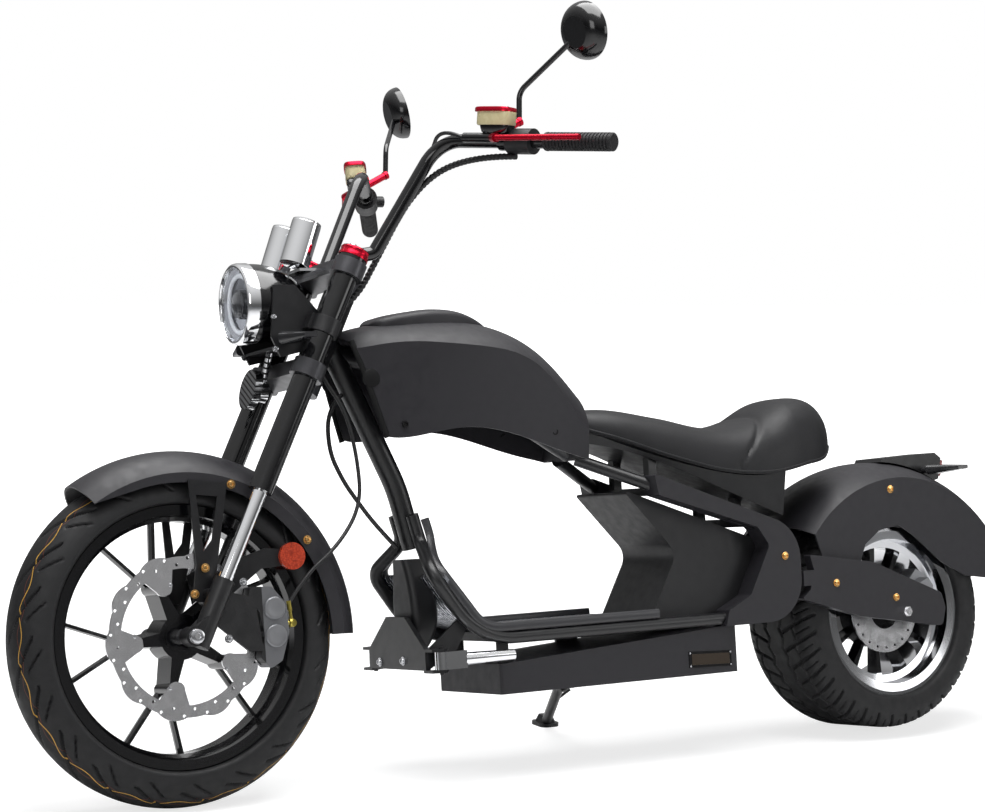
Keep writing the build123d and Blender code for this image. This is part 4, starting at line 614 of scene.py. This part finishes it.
def rear_grooves(run, side):
    """Depth in mm: zigzag grooves round the tread, slanted blocks to each shoulder, sipes."""
    reach = np.abs(side)
    half_turn = np.where(side > 0, 0.0, 0.5)
    pitch = 2 * pi * REAR_RADIUS / REAR_BLOCKS
    zig = np.abs(((run / pitch + half_turn) % 1) - 0.5) * 4 - 1
    inner = smooth_step((3.2 - np.abs(reach - 22 - 4.5 * zig)) / 1.6)
    outer = smooth_step((2.6 - np.abs(reach - 62 - 3.5 * zig)) / 1.6)
    block = stroke(run, reach, pitch, 0.42, 24, 116, 5.0, half_turn)
    sipe = stroke(run, reach, pitch, 0.42, 66, 104, 2.6, half_turn + 0.5)
    return np.maximum(5.0 * np.maximum.reduce([inner, outer, block]), 3.0 * sipe)


def tread_ring(name, outline, bead, centre, grooves, steps, material, body, replaced):
    """Tyre: an outline of side and radius swept round the axle, with grooves cut inwards.

    outline runs from the left bead over the crown to the right, and bead closes it inside the
    rim. UV holds the run round the tread and the distance from its middle, in millimetres.
    """
    outline = np.asarray(outline)
    side = np.concatenate([[0], np.cumsum(np.hypot(*np.diff(outline, axis=0).T))])
    side = side[-1] / 2 - side
    tangent = np.gradient(outline, axis=0)
    inward = np.column_stack([tangent[:, 1], -tangent[:, 0]])
    inward /= np.linalg.norm(inward, axis=1)[:, None]
    inward *= np.where(inward[:, 1:] > 0, -1, 1)
    crown = outline[:, 1].max()
    turn = np.arange(steps) * 2 * pi / steps
    depth = grooves(turn[:, None] * crown, np.broadcast_to(side, (steps, len(side))))
    ring = outline[None] + inward[None] * depth[:, :, None]
    ring = np.concatenate([ring, np.broadcast_to(bead, (steps, len(bead), 2))], axis=1)
    count = ring.shape[1]
    points = np.stack([
        centre[0] + ring[:, :, 1] * np.cos(turn)[:, None],
        ring[:, :, 0],
        centre[2] + ring[:, :, 1] * np.sin(turn)[:, None],
    ], axis=2).reshape(-1, 3)
    column, row = np.meshgrid(np.arange(count), np.arange(steps))
    beside, after = (column + 1) % count, (row + 1) % steps
    faces = np.stack([
        row * count + column, after * count + column, after * count + beside, row * count + beside,
    ], axis=2).reshape(-1, 4)
    side = np.concatenate([side, np.full(len(bead), side.min())])
    step = crown * 2 * pi / steps
    corners = ((row, column), (row + 1, column), (row + 1, beside), (row, beside))
    flat = np.stack([np.stack([at * step, side[on]], axis=2) for at, on in corners], axis=2)
    piece = piece_from(name, (points, faces.tolist()), material, body, flat)
    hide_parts(replaced)


def pinstriped_rubber():
    """Tyre rubber; on each side a gold and a brown hairline swing to and fro and cross."""
    material = finish("front_tyre_rubber", *TYRE_RUBBER)
    tree = material.node_tree
    shader = tree.nodes["Principled BSDF"]
    flat = add_node(tree, "ShaderNodeUVMap", uv_map="pattern_mm").outputs[0]
    run, side, _ = components(tree, flat)
    reach = math_node(tree, "ABSOLUTE", side)
    turn = math_node(tree, "MULTIPLY", run, PINSTRIPE_WAVES / FRONT_RADIUS)
    wave = math_node(tree, "SINE", turn)
    shade = shader.inputs["Base Color"].links[0].from_socket
    for swing, colour in ((-PINSTRIPE_SWING, "#4A241C"), (PINSTRIPE_SWING, "#C0933A")):
        bend = math_node(tree, "MULTIPLY", wave, swing)
        away = math_node(
            tree, "SUBTRACT", math_node(tree, "SUBTRACT", reach, bend), PINSTRIPE_SIDE,
        )
        line = math_node(tree, "LESS_THAN", math_node(tree, "ABSOLUTE", away), 0.8)
        shade = mix_colours(tree, line, shade, srgb(colour))
    set_inputs(tree, shader, {"Base Color": shade})
    return material


front_outline = np.concatenate([
    [(41.7, 221), (41.7, 230)], arc((50, 240), 9, -110, -15, 5), arc((1, 238), 58, 2, 90, 38),
    arc((-1, 238), 58, 90, 178, 38), arc((-50, 240), 9, 195, 290, 5), [(-41.7, 230), (-41.7, 221)],
])
tread_ring(
    "front_tyre_tread", front_outline, [(-41.7, 217.4), (41.7, 217.4)],
    (WHEELBASE, 0, FRONT_RADIUS), front_grooves, 760, pinstriped_rubber(), "front_wheel",
    "front_tyre",
)
rear_crown = np.column_stack([np.linspace(62, -62, 52), np.full(52, REAR_RADIUS)])
rear_outline = np.concatenate([
    [(90.6, 160), (90.6, 171)], arc((97, 181), 10, -80, -10, 5), arc((63.5, 192), 44, -4, 88, 30),
    rear_crown, arc((-63.5, 192), 44, 92, 184, 30), arc((-97, 181), 10, 190, 260, 5),
    [(-90.6, 171), (-90.6, 160)],
])
tread_ring(
    "rear_tyre_tread", rear_outline, [(-90.6, 153.4), (90.6, 153.4)], (0, 0, REAR_RADIUS),
    rear_grooves, 620, finish("rear_tyre_rubber", *TYRE_RUBBER), "rear_wheel", "rear_tyre",
)


# Seat. Foam under soft black leather: a narrow nose over the tank's tail, a dip and a rear
# hump, with a sewn seam across the hump and piping round the lower edge.
SEAT_ROWS = np.array([
    # x, bottom z, bottom half width, top z, top half width
    (737, 637, 49, 666, 36), (650, 609, 79, 669, 58), (530, 566, 103, 650, 76),
    (400, 533, 119, 626, 88), (300, 529, 127, 642, 92), (225, 541, 121, 676, 84),
    (150, 558, 97, 671, 62), (104, 589, 49, 635, 26),
])
SEAM_TOP_X, SEAM_TOP_Z = 276.0, 660.0
SEAM_SLOPE = 0.95
SEAM_WIDTH = 5.0
ROUNDING = 0.62


def along_rows(rows, x):
    """Rows read at x by cubic Hermite between them, with central slopes."""
    rows = rows[::-1]
    slopes = np.gradient(rows[:, 1:], rows[:, 0], axis=0)
    at = np.clip(np.searchsorted(rows[:, 0], x) - 1, 0, len(rows) - 2)
    step = rows[at + 1, 0] - rows[at, 0]
    share = ((x - rows[at, 0]) / step)[:, None]
    low, high = rows[at, 1:], rows[at + 1, 1:]
    blend = 3 * share ** 2 - 2 * share ** 3
    return (
        low * (1 - blend) + high * blend
        + slopes[at] * step[:, None] * (share ** 3 - 2 * share ** 2 + share)
        + slopes[at + 1] * step[:, None] * (share ** 3 - share ** 2)
    )


def seat_cushion():
    """Closed cushion whose section is flat below and a rounded box above, drawn in at the seam.

    The section is y = W cos(a)^p, z = low + H sin(a)^p for a from 0 to 180 degrees, p the
    rounding.
    """
    x = np.concatenate([[104.2, 106, 110], np.linspace(116, 726, 150), [731, 735, 736.8]])
    low, low_half, top, _ = along_rows(SEAT_ROWS, x).T
    fade = np.sqrt(smooth_step((x - 92) / 30) * smooth_step((746 - x) / 26))
    turn = np.linspace(0, pi, 61)
    shape_y = np.sign(np.cos(turn)) * np.abs(np.cos(turn)) ** ROUNDING
    shape_z = np.abs(np.sin(turn)) ** ROUNDING
    y = low_half[:, None] * fade[:, None] * shape_y * (1 - 0.10 * shape_z ** 2)
    z = low[:, None] + (top - low)[:, None] * (0.3 + 0.7 * fade[:, None]) * shape_z
    seam_x = SEAM_TOP_X + SEAM_SLOPE * (SEAM_TOP_Z - z)
    seam = np.exp(-((x[:, None] - seam_x) / SEAM_WIDTH) ** 2)
    y = y * (1 - 0.035 * seam * (shape_z > 0.05))
    z = low[:, None] + (z - low[:, None]) * (1 - 0.03 * seam)
    under = np.linspace(-1, 1, 13)[1:-1]
    y = np.concatenate([y, under * low_half[:, None] * fade[:, None]], axis=1)
    z = np.concatenate([z, np.repeat(low[:, None], len(under), axis=1)], axis=1)
    count = y.shape[1]
    points = np.stack([np.repeat(x[:, None], count, axis=1), y, z], axis=2).reshape(-1, 3)
    return points, tube_faces(len(x), count, False)


def leather():
    """Black leather: pebbles 1.6 mm across, soft creases painted darker in their low parts as
    painted shade, a slight sheen.
    """
    material, tree, shader = new_material("black_grained_leather")
    place = add_node(tree, "ShaderNodeTexCoord").outputs["Object"]
    pebble = add_node(
        tree, "ShaderNodeTexVoronoi", {"Vector": place, "Scale": 1 / (1.6 * MM)},
    ).outputs["Distance"]
    crease_and_shade = noise(tree, place, 45.0, 5.0)
    # The colour darkens where the crease relief is low: painted shade in the creases.
    set_inputs(tree, shader, {
        "Base Color": mix_colours(tree, crease_and_shade, srgb("#0C0C0E"), srgb("#161619")),
        "Roughness": ranged(tree, crease_and_shade, 0.38, 0.58), "Specular IOR Level": 0.35,
    })
    height = math_node(tree, "ADD", math_node(tree, "MULTIPLY", pebble, -0.45), crease_and_shade)
    add_bump(tree, shader, height, 0.35)
    return material


def swept(path, half_wide, half_high, count=10):
    """Tube of elliptical section along points: half_wide lies level, half_high square to it."""
    path = np.asarray(path, float)
    tangent = np.gradient(path, axis=0)
    tangent /= np.linalg.norm(tangent, axis=1)[:, None]
    across = np.array([0.0, 1.0, 0.0]) - tangent * tangent[:, 1:2]
    across /= np.linalg.norm(across, axis=1)[:, None]
    square = np.cross(tangent, across)
    turn = np.arange(count) * 2 * pi / count
    rings = (
        path[:, None] + across[:, None] * half_wide * np.cos(turn)[:, None]
        + square[:, None] * half_high * np.sin(turn)[:, None]
    )
    return rings.reshape(-1, 3), tube_faces(len(path), count, False)


def joined(parts):
    """Several points and faces pairs as one."""
    points, faces, base = [], [], 0
    for part_points, part_faces in parts:
        points.append(np.asarray(part_points))
        faces += [tuple(base + corner for corner in face) for face in part_faces]
        base += len(part_points)
    return np.concatenate(points), faces


seat_leather = leather()
seat = piece_from("seat_cushion", seat_cushion(), seat_leather, "scooter_frame")
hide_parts("seat")
edge_x = np.linspace(126, 716, 90)
edge_low, edge_half = along_rows(SEAT_ROWS, edge_x)[:, :2].T
piping = [
    swept(np.column_stack([edge_x, side * (edge_half - 0.5), edge_low + 4.5]), 2.4, 2.4)
    for side in (1, -1)
]
piece_from("seat_piping", joined(piping), seat_leather, "scooter_frame")


# Fasteners. Gold-passivated and silver button-head screws, each on its washer, hold the
# fenders, the brackets, the covers and the lamp; the front disc's lugs have five small ones,
# and the front axle ends in a turned silver cap on each side.
LUG_START, LUG_RADIUS, DISC_FACE = 4, 93, 66.9
CAP = [(-8, 13.5), (4, 13.5), (6.5, 12), (7.5, 9), (7.6, 5.5), (4, 5)]
CAP_SIDE = 119


def turned(profile, at, along, count=24, ring=False):
    """Surface of revolution: profile rows are height along the axis and radius.

    ring joins the last row to the first; otherwise flat discs close both ends.
    """
    along = np.array(along, float) / np.linalg.norm(along)
    across = np.cross(along, (0.31, 0.77, 0.55))
    across /= np.linalg.norm(across)
    square = np.cross(along, across)
    turn = np.arange(count) * 2 * pi / count
    circle = np.cos(turn)[:, None] * across + np.sin(turn)[:, None] * square
    points = [np.array(at) + along * height + circle * radius for height, radius in profile]
    return np.concatenate(points), tube_faces(len(profile), count, ring)


SCREW = [(-1, 6.6), (1.2, 6.6), (1.3, 5.0), (3.2, 4.9), (4.3, 4.0), (4.6, 2.5), (2.8, 2.2)]


def screws(name, places, size, material, body="front_fork"):
    """Screws at points, each given with the way its head faces."""
    made = [
        turned([(height * size, radius * size) for height, radius in SCREW], at, along)
        for at, along in places
    ]
    piece_from(name, joined(made), material, body)


def both_sides(places):
    """The places and their twins across the scooter's middle, facing outwards."""
    left = [((x, y, z), (0, 1, 0)) for x, y, z in places]
    return left + [((x, -y, z), (0, -1, 0)) for x, y, z in places]


gold = finish("gold_passivated_steel", "#DDB070", 0.27, 1.0, 0.6, 0.0, 0.1)
silver = finish("zinc_plated_steel", "#C6C7CA", 0.22, 1.0, 0.6, 0.0, 0.06)
screws("front_fender_screws", both_sides([(1455, 70.2, 555), (1317, 70.2, 450)]), 1.2, gold)
screws("bracket_screws", both_sides([(1516, 78.4, 412), (1538, 78.4, 368)]), 1.2, gold)
screws("caliper_bracket_screws", [((1455, 97.4, 383), (0, 1, 0)), ((1488, 97.4, 287), (0, 1, 0))],
       1.1, silver)
screws("rear_screws",
       both_sides([(9, 119.1, 484), (298, 131.1, 365), (23, 134.1, 266), (175, 134.1, 304)]),
       1.2, gold, "scooter_frame")
screws("peg_plate_screws", [((1109.1, -63, 216), (1, 0, 0)), ((1109.1, 24, 220), (1, 0, 0))], 1.25,
       silver, "scooter_frame")
screws("lamp_screws", both_sides([(1354, 73.1, 848), (1354, 73.1, 791)]), 0.9, silver)
disc_places = []
for lug in range(5):
    angle = radians(LUG_START + 72 * lug)
    disc_places.append((
        (WHEELBASE + LUG_RADIUS * cos(angle), DISC_FACE, FRONT_RADIUS + LUG_RADIUS * sin(angle)),
        (0, 1, 0),
    ))
screws("disc_screws", disc_places, 0.62, silver, "front_wheel")
caps = [
    turned(CAP, (WHEELBASE, side * CAP_SIDE, FRONT_RADIUS), (0, side, 0), 32) for side in (1, -1)
]
piece_from("front_axle_caps", joined(caps), silver)


# Headlight. A chromed bezel round a clear domed lens; behind it a faceted bowl, a projector
# and a white light-guide ring.
LAMP_AT = (WHEELBASE - 161, 0, 880.0)


def glass(name, tint):
    """Clear moulded polycarbonate, very slightly hazed."""
    material, tree, shader = new_material(name)
    place = add_node(tree, "ShaderNodeTexCoord").outputs["Object"]
    set_inputs(tree, shader, {
        "Roughness": ranged(tree, noise(tree, place, 30.0), 0.0, 0.03), "Base Color": srgb(tint),
        "Transmission Weight": 1.0, "IOR": 1.2,
    })
    return material


def lamp_ring(profile):
    """A ring turned round the lamp's axis."""
    return turned(profile, LAMP_AT, (1, 0, 0), 72, True)


bezel_piece = piece_from("lamp_bezel", lamp_ring([
    (-18, 68), (-18, 73.8), (-2, 73.8), (3, 72.5), (5.5, 69.5), (5.5, 66.5), (1, 64.5), (-14, 64.5),
    (-17, 66),
]), chrome)
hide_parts("headlight_lens")
bowl = lamp_ring([
    (-2, 64.6), (-3.5, 64.4), (-8, 58), (-12.5, 46), (-15, 32), (-16, 24), (-16.4, 0.1),
    (-17.6, 0.1), (-17.6, 64.6),
])
bowl_chrome = finish("smoked_reflector_chrome", "#9A9BA0", 0.14, 1.0, 3.0, 0.15, 0.1)
piece_from("lamp_bowl", bowl, bowl_chrome)
guide = [(-8 + 3.6 * sin(a), 51 + 4.6 * cos(a)) for a in np.arange(14) * 2 * pi / 14]
light_guide = finish("opal_light_guide", "#F4F5F8", 0.25, 0.0, 2.0, 0.0, 0.02)
piece_from("lamp_light_guide", lamp_ring(guide), light_guide)
EYE = [(-16, 27), (-4, 27), (-2, 25), (-2.5, 22), (1, 18), (3.4, 10), (4, 0.5)]
piece_from("lamp_projector", turned(EYE, LAMP_AT, (1, 0, 0), 48), smoked)
dome = lamp_ring([
    (1.2, 65.8), (3.2, 65.6), (7, 55), (10.6, 40), (13, 22), (14, 8), (14.2, 0.1), (12.6, 0.1),
    (12.4, 8), (11.4, 22), (9, 40), (5.4, 55), (1.2, 64.6),
])
piece_from("lamp_lens", dome, glass("clear_polycarbonate", "#FAFCFF"))


# Grips. Soft black rubber sleeves pushed over both bar ends: a thin flange at the switches,
# close round ribs along the hand's width and a plain rounded end.
GRIP_START = 235.0
RIB_PITCH = 7.0
grip_rubber = finish("grip_rubber", "#141416", 0.58, 0.0, 0.9, 0.04, 0.08, 0.0, 0.4)
BAR_SIDES = (np.ones(3), np.array([1, -1, 1]))


def grip_profile():
    """Flange, then ribs that stand 1.8 mm proud, then a rounded end."""
    rows = [(0, 13), (0, 16.6), (3, 17), (5, 16.4), (6, 14.6)]
    for start in np.arange(8, 128, RIB_PITCH):
        rows += [(start, 14.8), (start + 0.8, 16.6), (start + 4.4, 16.6), (start + 5.2, 14.8)]
    return rows + [(132, 15.2), (134, 16.4), (138, 16.4), (140, 14), (140, 0.5)]


grips = [
    turned(grip_profile(), on_bar(GRIP_START) * flip, bar_out * flip, 40)
    for flip in BAR_SIDES
]
grips_piece = piece_from("grip_sleeves", joined(grips), grip_rubber)
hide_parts("grips")


# Master cylinders. A black cylinder and clamp on each bar carry a clouded fluid reservoir with
# a red cap and two screws, and a red mount that the mirror's stalk stands in.
RESERVOIR_ALONG = 150.0
MOUNT_ROD = [(0, 7), (50, 7), (50.5, 8.5), (57, 8.5), (58, 6.5), (58, 5)]


def rounded_box(centre, along, half, rows, count=36):
    """Stack of rounded rectangles square to the lift: rows are height and scale.

    Each outline is A cos(a)^0.5 along and B sin(a)^0.5 across, half being A and B.
    """
    along = np.asarray(along) / np.linalg.norm(along)
    across = np.cross((0, 0, 1), along)
    across /= np.linalg.norm(across)
    lift = np.cross(along, across)
    turn = np.arange(count) * 2 * pi / count
    round_cos = np.sign(np.cos(turn)) * np.sqrt(np.abs(np.cos(turn)))
    round_sin = np.sign(np.sin(turn)) * np.sqrt(np.abs(np.sin(turn)))
    outline = half[0] * round_cos[:, None] * along + half[1] * round_sin[:, None] * across
    rings = [np.asarray(centre) + lift * height + outline * scale for height, scale in rows]
    return np.concatenate(rings), tube_faces(len(rows), count, False)


clouded = finish("clouded_polycarbonate", "#CFC49A", 0.28, 0.0, 2.0, 0.0, 0.12)
black_parts, reservoirs, red_caps, cap_screws = [], [], [], []
for flip in BAR_SIDES:
    out = bar_out * flip
    low, middle, high = (on_bar(RESERVOIR_ALONG, 18, z) * flip for z in (21, 40, 56))
    black_parts += [
        turned([(0, 7), (1, 9), (74, 9), (76, 7)], on_bar(84, 26, 6) * flip, out),
        turned([(-12, 13.2), (-12, 17), (12, 17), (12, 13.2)], on_bar(RESERVOIR_ALONG) * flip, out,
               36, True),
        rounded_box(low, out, (31, 18), [(-9, 0.7), (-5, 0.9), (4, 1.0), (7, 1.0)]),
    ]
    reservoirs.append(rounded_box(middle, out, (35, 20), [(-12, 0.96), (-10, 1.0), (12, 1.0)]))
    red_caps.append(rounded_box(high, out, (37, 22), [(-4, 1.0), (2, 1.0), (4, 0.96), (4.6, 0.88)]))
    stalk_foot = on_bar(128, 0, 12) * flip
    stalk_way = on_bar(128, -48, 36) * flip - stalk_foot
    red_caps.append(turned(MOUNT_ROD, stalk_foot, stalk_way))
    cap_screws += [
        turned([(3.5, 3.4), (5.6, 3.4), (6.4, 2.4)], high + out * shift, (0, 0, 1), 16)
        for shift in (-24, 24)
    ]
masters = piece_from("master_cylinders", joined(black_parts), gloss_black)
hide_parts("brake_masters")
piece_from("fluid_reservoirs", joined(reservoirs), clouded)
piece_from("reservoir_caps", joined(red_caps), red_anodised)
piece_from("reservoir_screws", joined(cap_screws), silver)


# Gauges. Two chromed pods on the top clamp, each with a thin bezel round a round black face.
# The faces have plain white ticks and no figures, because the photograph shows none.
TICKS = 24
TICK_INNER, TICK_OUTER = 16.5, 20.0


def dial_ticks(tree):
    """1 on the white ticks round each dial, in a band round its middle."""
    flat = add_node(tree, "ShaderNodeUVMap", uv_map="pattern_mm").outputs[0]
    x, y, _ = components(tree, flat)
    angle = math_node(tree, "ARCTAN2", y, x)
    square = math_node(
        tree, "ADD", math_node(tree, "POWER", x, 2.0), math_node(tree, "POWER", y, 2.0),
    )
    ray = math_node(tree, "COSINE", math_node(tree, "MULTIPLY", angle, TICKS))
    band = math_node(
        tree, "MULTIPLY", math_node(tree, "GREATER_THAN", square, TICK_INNER ** 2),
        math_node(tree, "LESS_THAN", square, TICK_OUTER ** 2),
    )
    return math_node(tree, "MULTIPLY", math_node(tree, "GREATER_THAN", ray, 0.9), band)


POD_UP = np.array([-0.37, 0, 0.93]) / np.hypot(0.37, 0.93)
POD_LENGTH = 82.0
DIAL_POINTS = 48
DIAL_RADII = [23.2, 20, 16, 12, 8, 4, 0.2]
dial_finish = finish(
    "gauge_face_enamel", "#0A0A0C", 0.12, 0.0, 1.0, 0.0, 0.02,
    second=("#E8E8E8", 0.3, 0.0), mask=dial_ticks,
)
for name, side in (("left_gauge", 46), ("right_gauge", -46)):
    top = np.array([1296, side, 944]) + POD_UP * POD_LENGTH
    rim = turned(
        [(-3, 26.8), (1.6, 26.4), (2.2, 25.2), (1.8, 23.8), (-0.2, 23.0), (-3, 23.0)], top, POD_UP,
        DIAL_POINTS, True,
    )
    piece_from(name + "_bezel", rim, chrome)
    points, faces = turned([(0.5, radius) for radius in DIAL_RADII], top, POD_UP, DIAL_POINTS)
    angles = np.arange(DIAL_POINTS) * 2 * pi / DIAL_POINTS
    around = np.column_stack([np.cos(angles), np.sin(angles)])
    flat = np.concatenate([radius * around for radius in DIAL_RADII])
    uv = np.concatenate([flat[list(face)] for face in faces])
    piece_from(name + "_face", (points, faces), dial_finish, uv=uv)


# Fork tops. A red anodised collar round the top of each fork tube with a silver bolt in it,
# and the silver barrel of the ignition lock between them.
CLAMP_TOP = 1038.0
STEER_UP = in_fork(0, 0, 1) - in_fork(0, 0, 0)
TUBE_CAP = [
    (-1, 24), (-1, 27.4), (4, 27.4), (6, 26.6), (11, 26.6), (13, 27.4), (15, 26.4), (15, 24),
]
CAP_BOLT = [(-2, 7), (6, 7), (8, 5.5), (8.2, 3), (5, 2.8)]
LOCK = [(-30, 15), (2, 15), (4, 14), (4.5, 11), (3, 9), (2.8, 0.5)]
tube_caps, cap_bolts = [], []
for side in (LEG_SPREAD, -LEG_SPREAD):
    cap_at = in_fork(LEG_LEAD, side, CLAMP_TOP + 8)
    bolt_at = in_fork(LEG_LEAD + 8, side, CLAMP_TOP + 24)
    tube_caps.append(turned(TUBE_CAP, cap_at, STEER_UP, 48, True))
    cap_bolts.append(turned(CAP_BOLT, bolt_at, STEER_UP))
piece_from("tube_caps", joined(tube_caps), red_anodised)
piece_from("tube_cap_bolts", joined(cap_bolts), silver)
piece_from("ignition_lock", turned(LOCK, in_fork(26, 34, CLAMP_TOP + 4), STEER_UP, 36), silver)


# Mirrors. Slightly domed round glass set in the rear face of each black shell, with a thin
# bevelled edge; the photograph shows the shells from the front only.
MIRROR_AT = np.array([848.0, 378.0, 1315.0])
MIRROR_FACE = np.array([-0.95, -0.2, 0.2])
mirror_glass = finish("mirror_glass", "#E6E8EA", 0.02, 1.0, 4.0, 0.0, 0.01)
panes = [
    turned([(-0.1, 47.5), (0.9, 47.3), (1.4, 40), (1.6, 20), (1.7, 0.5)], MIRROR_AT * flip,
           MIRROR_FACE * flip, 64)
    for flip in BAR_SIDES
]
piece_from("mirror_glasses", joined(panes), mirror_glass)


# Front caliper. A silver cast body with two piston bosses, bridging the disc, on a black
# rough-cast bracket, with a yellow banjo fitting where the hose comes in.
CALIPER_SPLIT_X = 1421.0


def caliper_body(tree):
    """1 on the caliper's body, behind the bracket's edge."""
    x = components(tree, scooter_mm(tree, STEERED))["X"]
    return math_node(tree, "LESS_THAN", x, CALIPER_SPLIT_X)


dress(finish(
    "cast_caliper", "#0D0D0F", 0.45, 0.0, 2.4, 0.35, 0.1, second=("#77787B", 0.42, 0.85),
    mask=caliper_body,
), "front_caliper")
BOSS = [(-1, 20), (2.4, 20), (4.4, 18.4), (5, 15), (4.2, 12), (4.2, 0.5)]
bosses = [turned(BOSS, (1399, 97, z), (0, 1, 0), 40) for z in (334, 286)]
piece_from("caliper_bosses", joined(bosses), cast_silver)
yellow_steel = finish("yellow_passivated_steel", "#A89A4C", 0.3, 1.0, 0.6, 0.0, 0.1)
banjo = [
    turned([(0, 5), (6, 5), (6, 8), (10, 8), (10, 5.5), (16, 5.5), (17, 4), (17, 0.5)],
           (1374, 84, 306), (-1, 0, 0)),
    turned([(0, 6.5), (1, 7), (11, 7), (12, 6), (12, 0.5)], (1362, 78, 306), (0, 1, 0)),
    turned([(-5, 4.4), (12, 4.4), (13, 3.2), (30, 3.2)], (1366, 84, 340), (-0.1, 0, -1)),
]
piece_from("caliper_banjo", joined(banjo), yellow_steel)


# Tank and deck trim. A black rubber strip along the tank's slanted front edge with a half-round
# grommet, holes drawn as black dished discs whose black is painted shade, and dark channel
# trims along both edges of the deck.
TANK_EDGE = [
    (1206.5, 66, 806), (1202, 70, 792), (1190, 76.5, 752), (1178, 80.5, 711), (1165, 84, 668),
    (1153, 86.5, 628),
]
DECK_EDGE = [
    (600, 120, 273), (760, 120, 273), (915, 120, 273), (990, 120, 273), (1030, 119, 326),
    (1066, 115, 374), (1068, 92, 398), (1056, 58, 424), (1050, 42, 452), (1056, 37, 478),
]
GROMMET = [(-2, 17), (2.4, 17), (3.6, 15), (3.6, 0.5)]
SHADED_HOLE = [(-2, 6.2), (1.0, 6.2), (1.2, 4.6), (-1.2, 4), (-1.3, 0.5)]
SHADED_HOLES_AT = [(1117, 91.5, 651), (795, 92.6, 627)]
SAME = np.eye(4)
strip_rubber = finish("edge_strip_rubber", "#060607", 0.6, 0.0, 0.8, 0.02, 0.08, 0.0, 0.2)
strips = []
for side in (1, -1):
    path = routed([(x, side * y, z) for x, y, z in TANK_EDGE], SAME, 6)
    strips.append(swept(path, 3.0, 6.0, 12))
    strips.append(turned(GROMMET, (1176, side * 79.5, 737), (0.1, side, 0.05), 32))
    # Holes: dished discs of black rubber, their black a painted shade inside each hole.
    strips += [turned(SHADED_HOLE, (x, side * y, z), (0, side, 0.1)) for x, y, z in SHADED_HOLES_AT]
piece_from("tank_front_strip", joined(strips), strip_rubber, "scooter_frame")
edge_paint = finish("deck_edge_paint", "#2C2C2F", 0.36, 0.0, 1.0, 0.01, 0.05)
trims = [
    swept(routed([(x, side * y, z) for x, y, z in DECK_EDGE], SAME, 8), 3.5, 9.0, 12)
    for side in (1, -1)
]
piece_from("deck_edge_trims", joined(trims), edge_paint, "scooter_frame")


# Tank lid. A low hump in the tank's own matt paint, let into its top: widest near its front,
# with a soft edge all round, and fading to the rear.
LID_ROWS = np.array([
    # x, base z, top z, half width
    (1142, 826, 839, 20), (1132, 828, 846, 34), (1107, 831, 854, 45), (1060, 834, 862, 48),
    (1014, 835, 866, 47), (945, 831, 858, 39), (905, 823, 842, 26), (880, 816, 828, 12),
])


def lid_hump():
    """Closed hump: y = W cos(a)^p, z = base + H sin(a)^p, a from 0 to 180 degrees, p = 0.45."""
    x = np.linspace(1141.5, 880.5, 60)
    base, top, half = along_rows(LID_ROWS, x).T
    turn = np.linspace(0, pi, 41)
    shape_y = np.sign(np.cos(turn)) * np.abs(np.cos(turn)) ** 0.45
    shape_z = np.abs(np.sin(turn)) ** 0.45
    y = half[:, None] * shape_y
    z = base[:, None] + (top - base)[:, None] * shape_z
    points = np.stack([np.repeat(x[:, None], len(turn), axis=1), y, z], axis=2).reshape(-1, 3)
    faces = tube_faces(len(x), len(turn), False)
    return points, [face[::-1] for face in faces]


lid = piece_from("tank_lid_hump", lid_hump(), matt_paint, "scooter_frame")
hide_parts("tank_lid")


# Name plate. A small bronze plate on the left side of the battery box, left blank, in a thin
# raised rubber frame with a rivet at each corner.
BOX_SIDE = 111.2
PLATE_SIDE = BOX_SIDE + 1.5


def slab(corners, thick, bevel=1.2):
    """Bevelled plate that stands up by thick from four corners of a face that looks to +Y."""
    corners = np.asarray(corners, float)
    middle = corners.mean(axis=0)
    out = (corners - middle) / np.linalg.norm(corners - middle, axis=1)[:, None]
    rings = [corners, corners + (0, thick - bevel, 0), corners - out * bevel + (0, thick, 0)]
    return np.concatenate(rings), tube_faces(3, len(corners), False)


PLATE_FRAME = [
    (530, BOX_SIDE, 163), (530, BOX_SIDE, 194), (428, BOX_SIDE, 190), (428, BOX_SIDE, 160),
]
PLATE = [
    (524, PLATE_SIDE, 168), (524, PLATE_SIDE, 189), (434, PLATE_SIDE, 186), (434, PLATE_SIDE, 165),
]
RIVETS_AT = ((527, 166), (431, 163), (431, 187), (527, 191))
piece_from("name_plate_frame", slab(PLATE_FRAME[::-1], 1.8), strip_rubber, "scooter_frame")
bronze = finish("etched_bronze_plate", "#3A322A", 0.4, 0.7, 0.6, 0.01, 0.1)
piece_from("name_plate_blank", slab(PLATE[::-1], 1.4, 0.6), bronze, "scooter_frame")
rivets = [((x, BOX_SIDE + 1.6, z), (0, 1, 0)) for x, z in RIVETS_AT]
screws("name_plate_rivets", rivets, 0.3, silver, "scooter_frame")
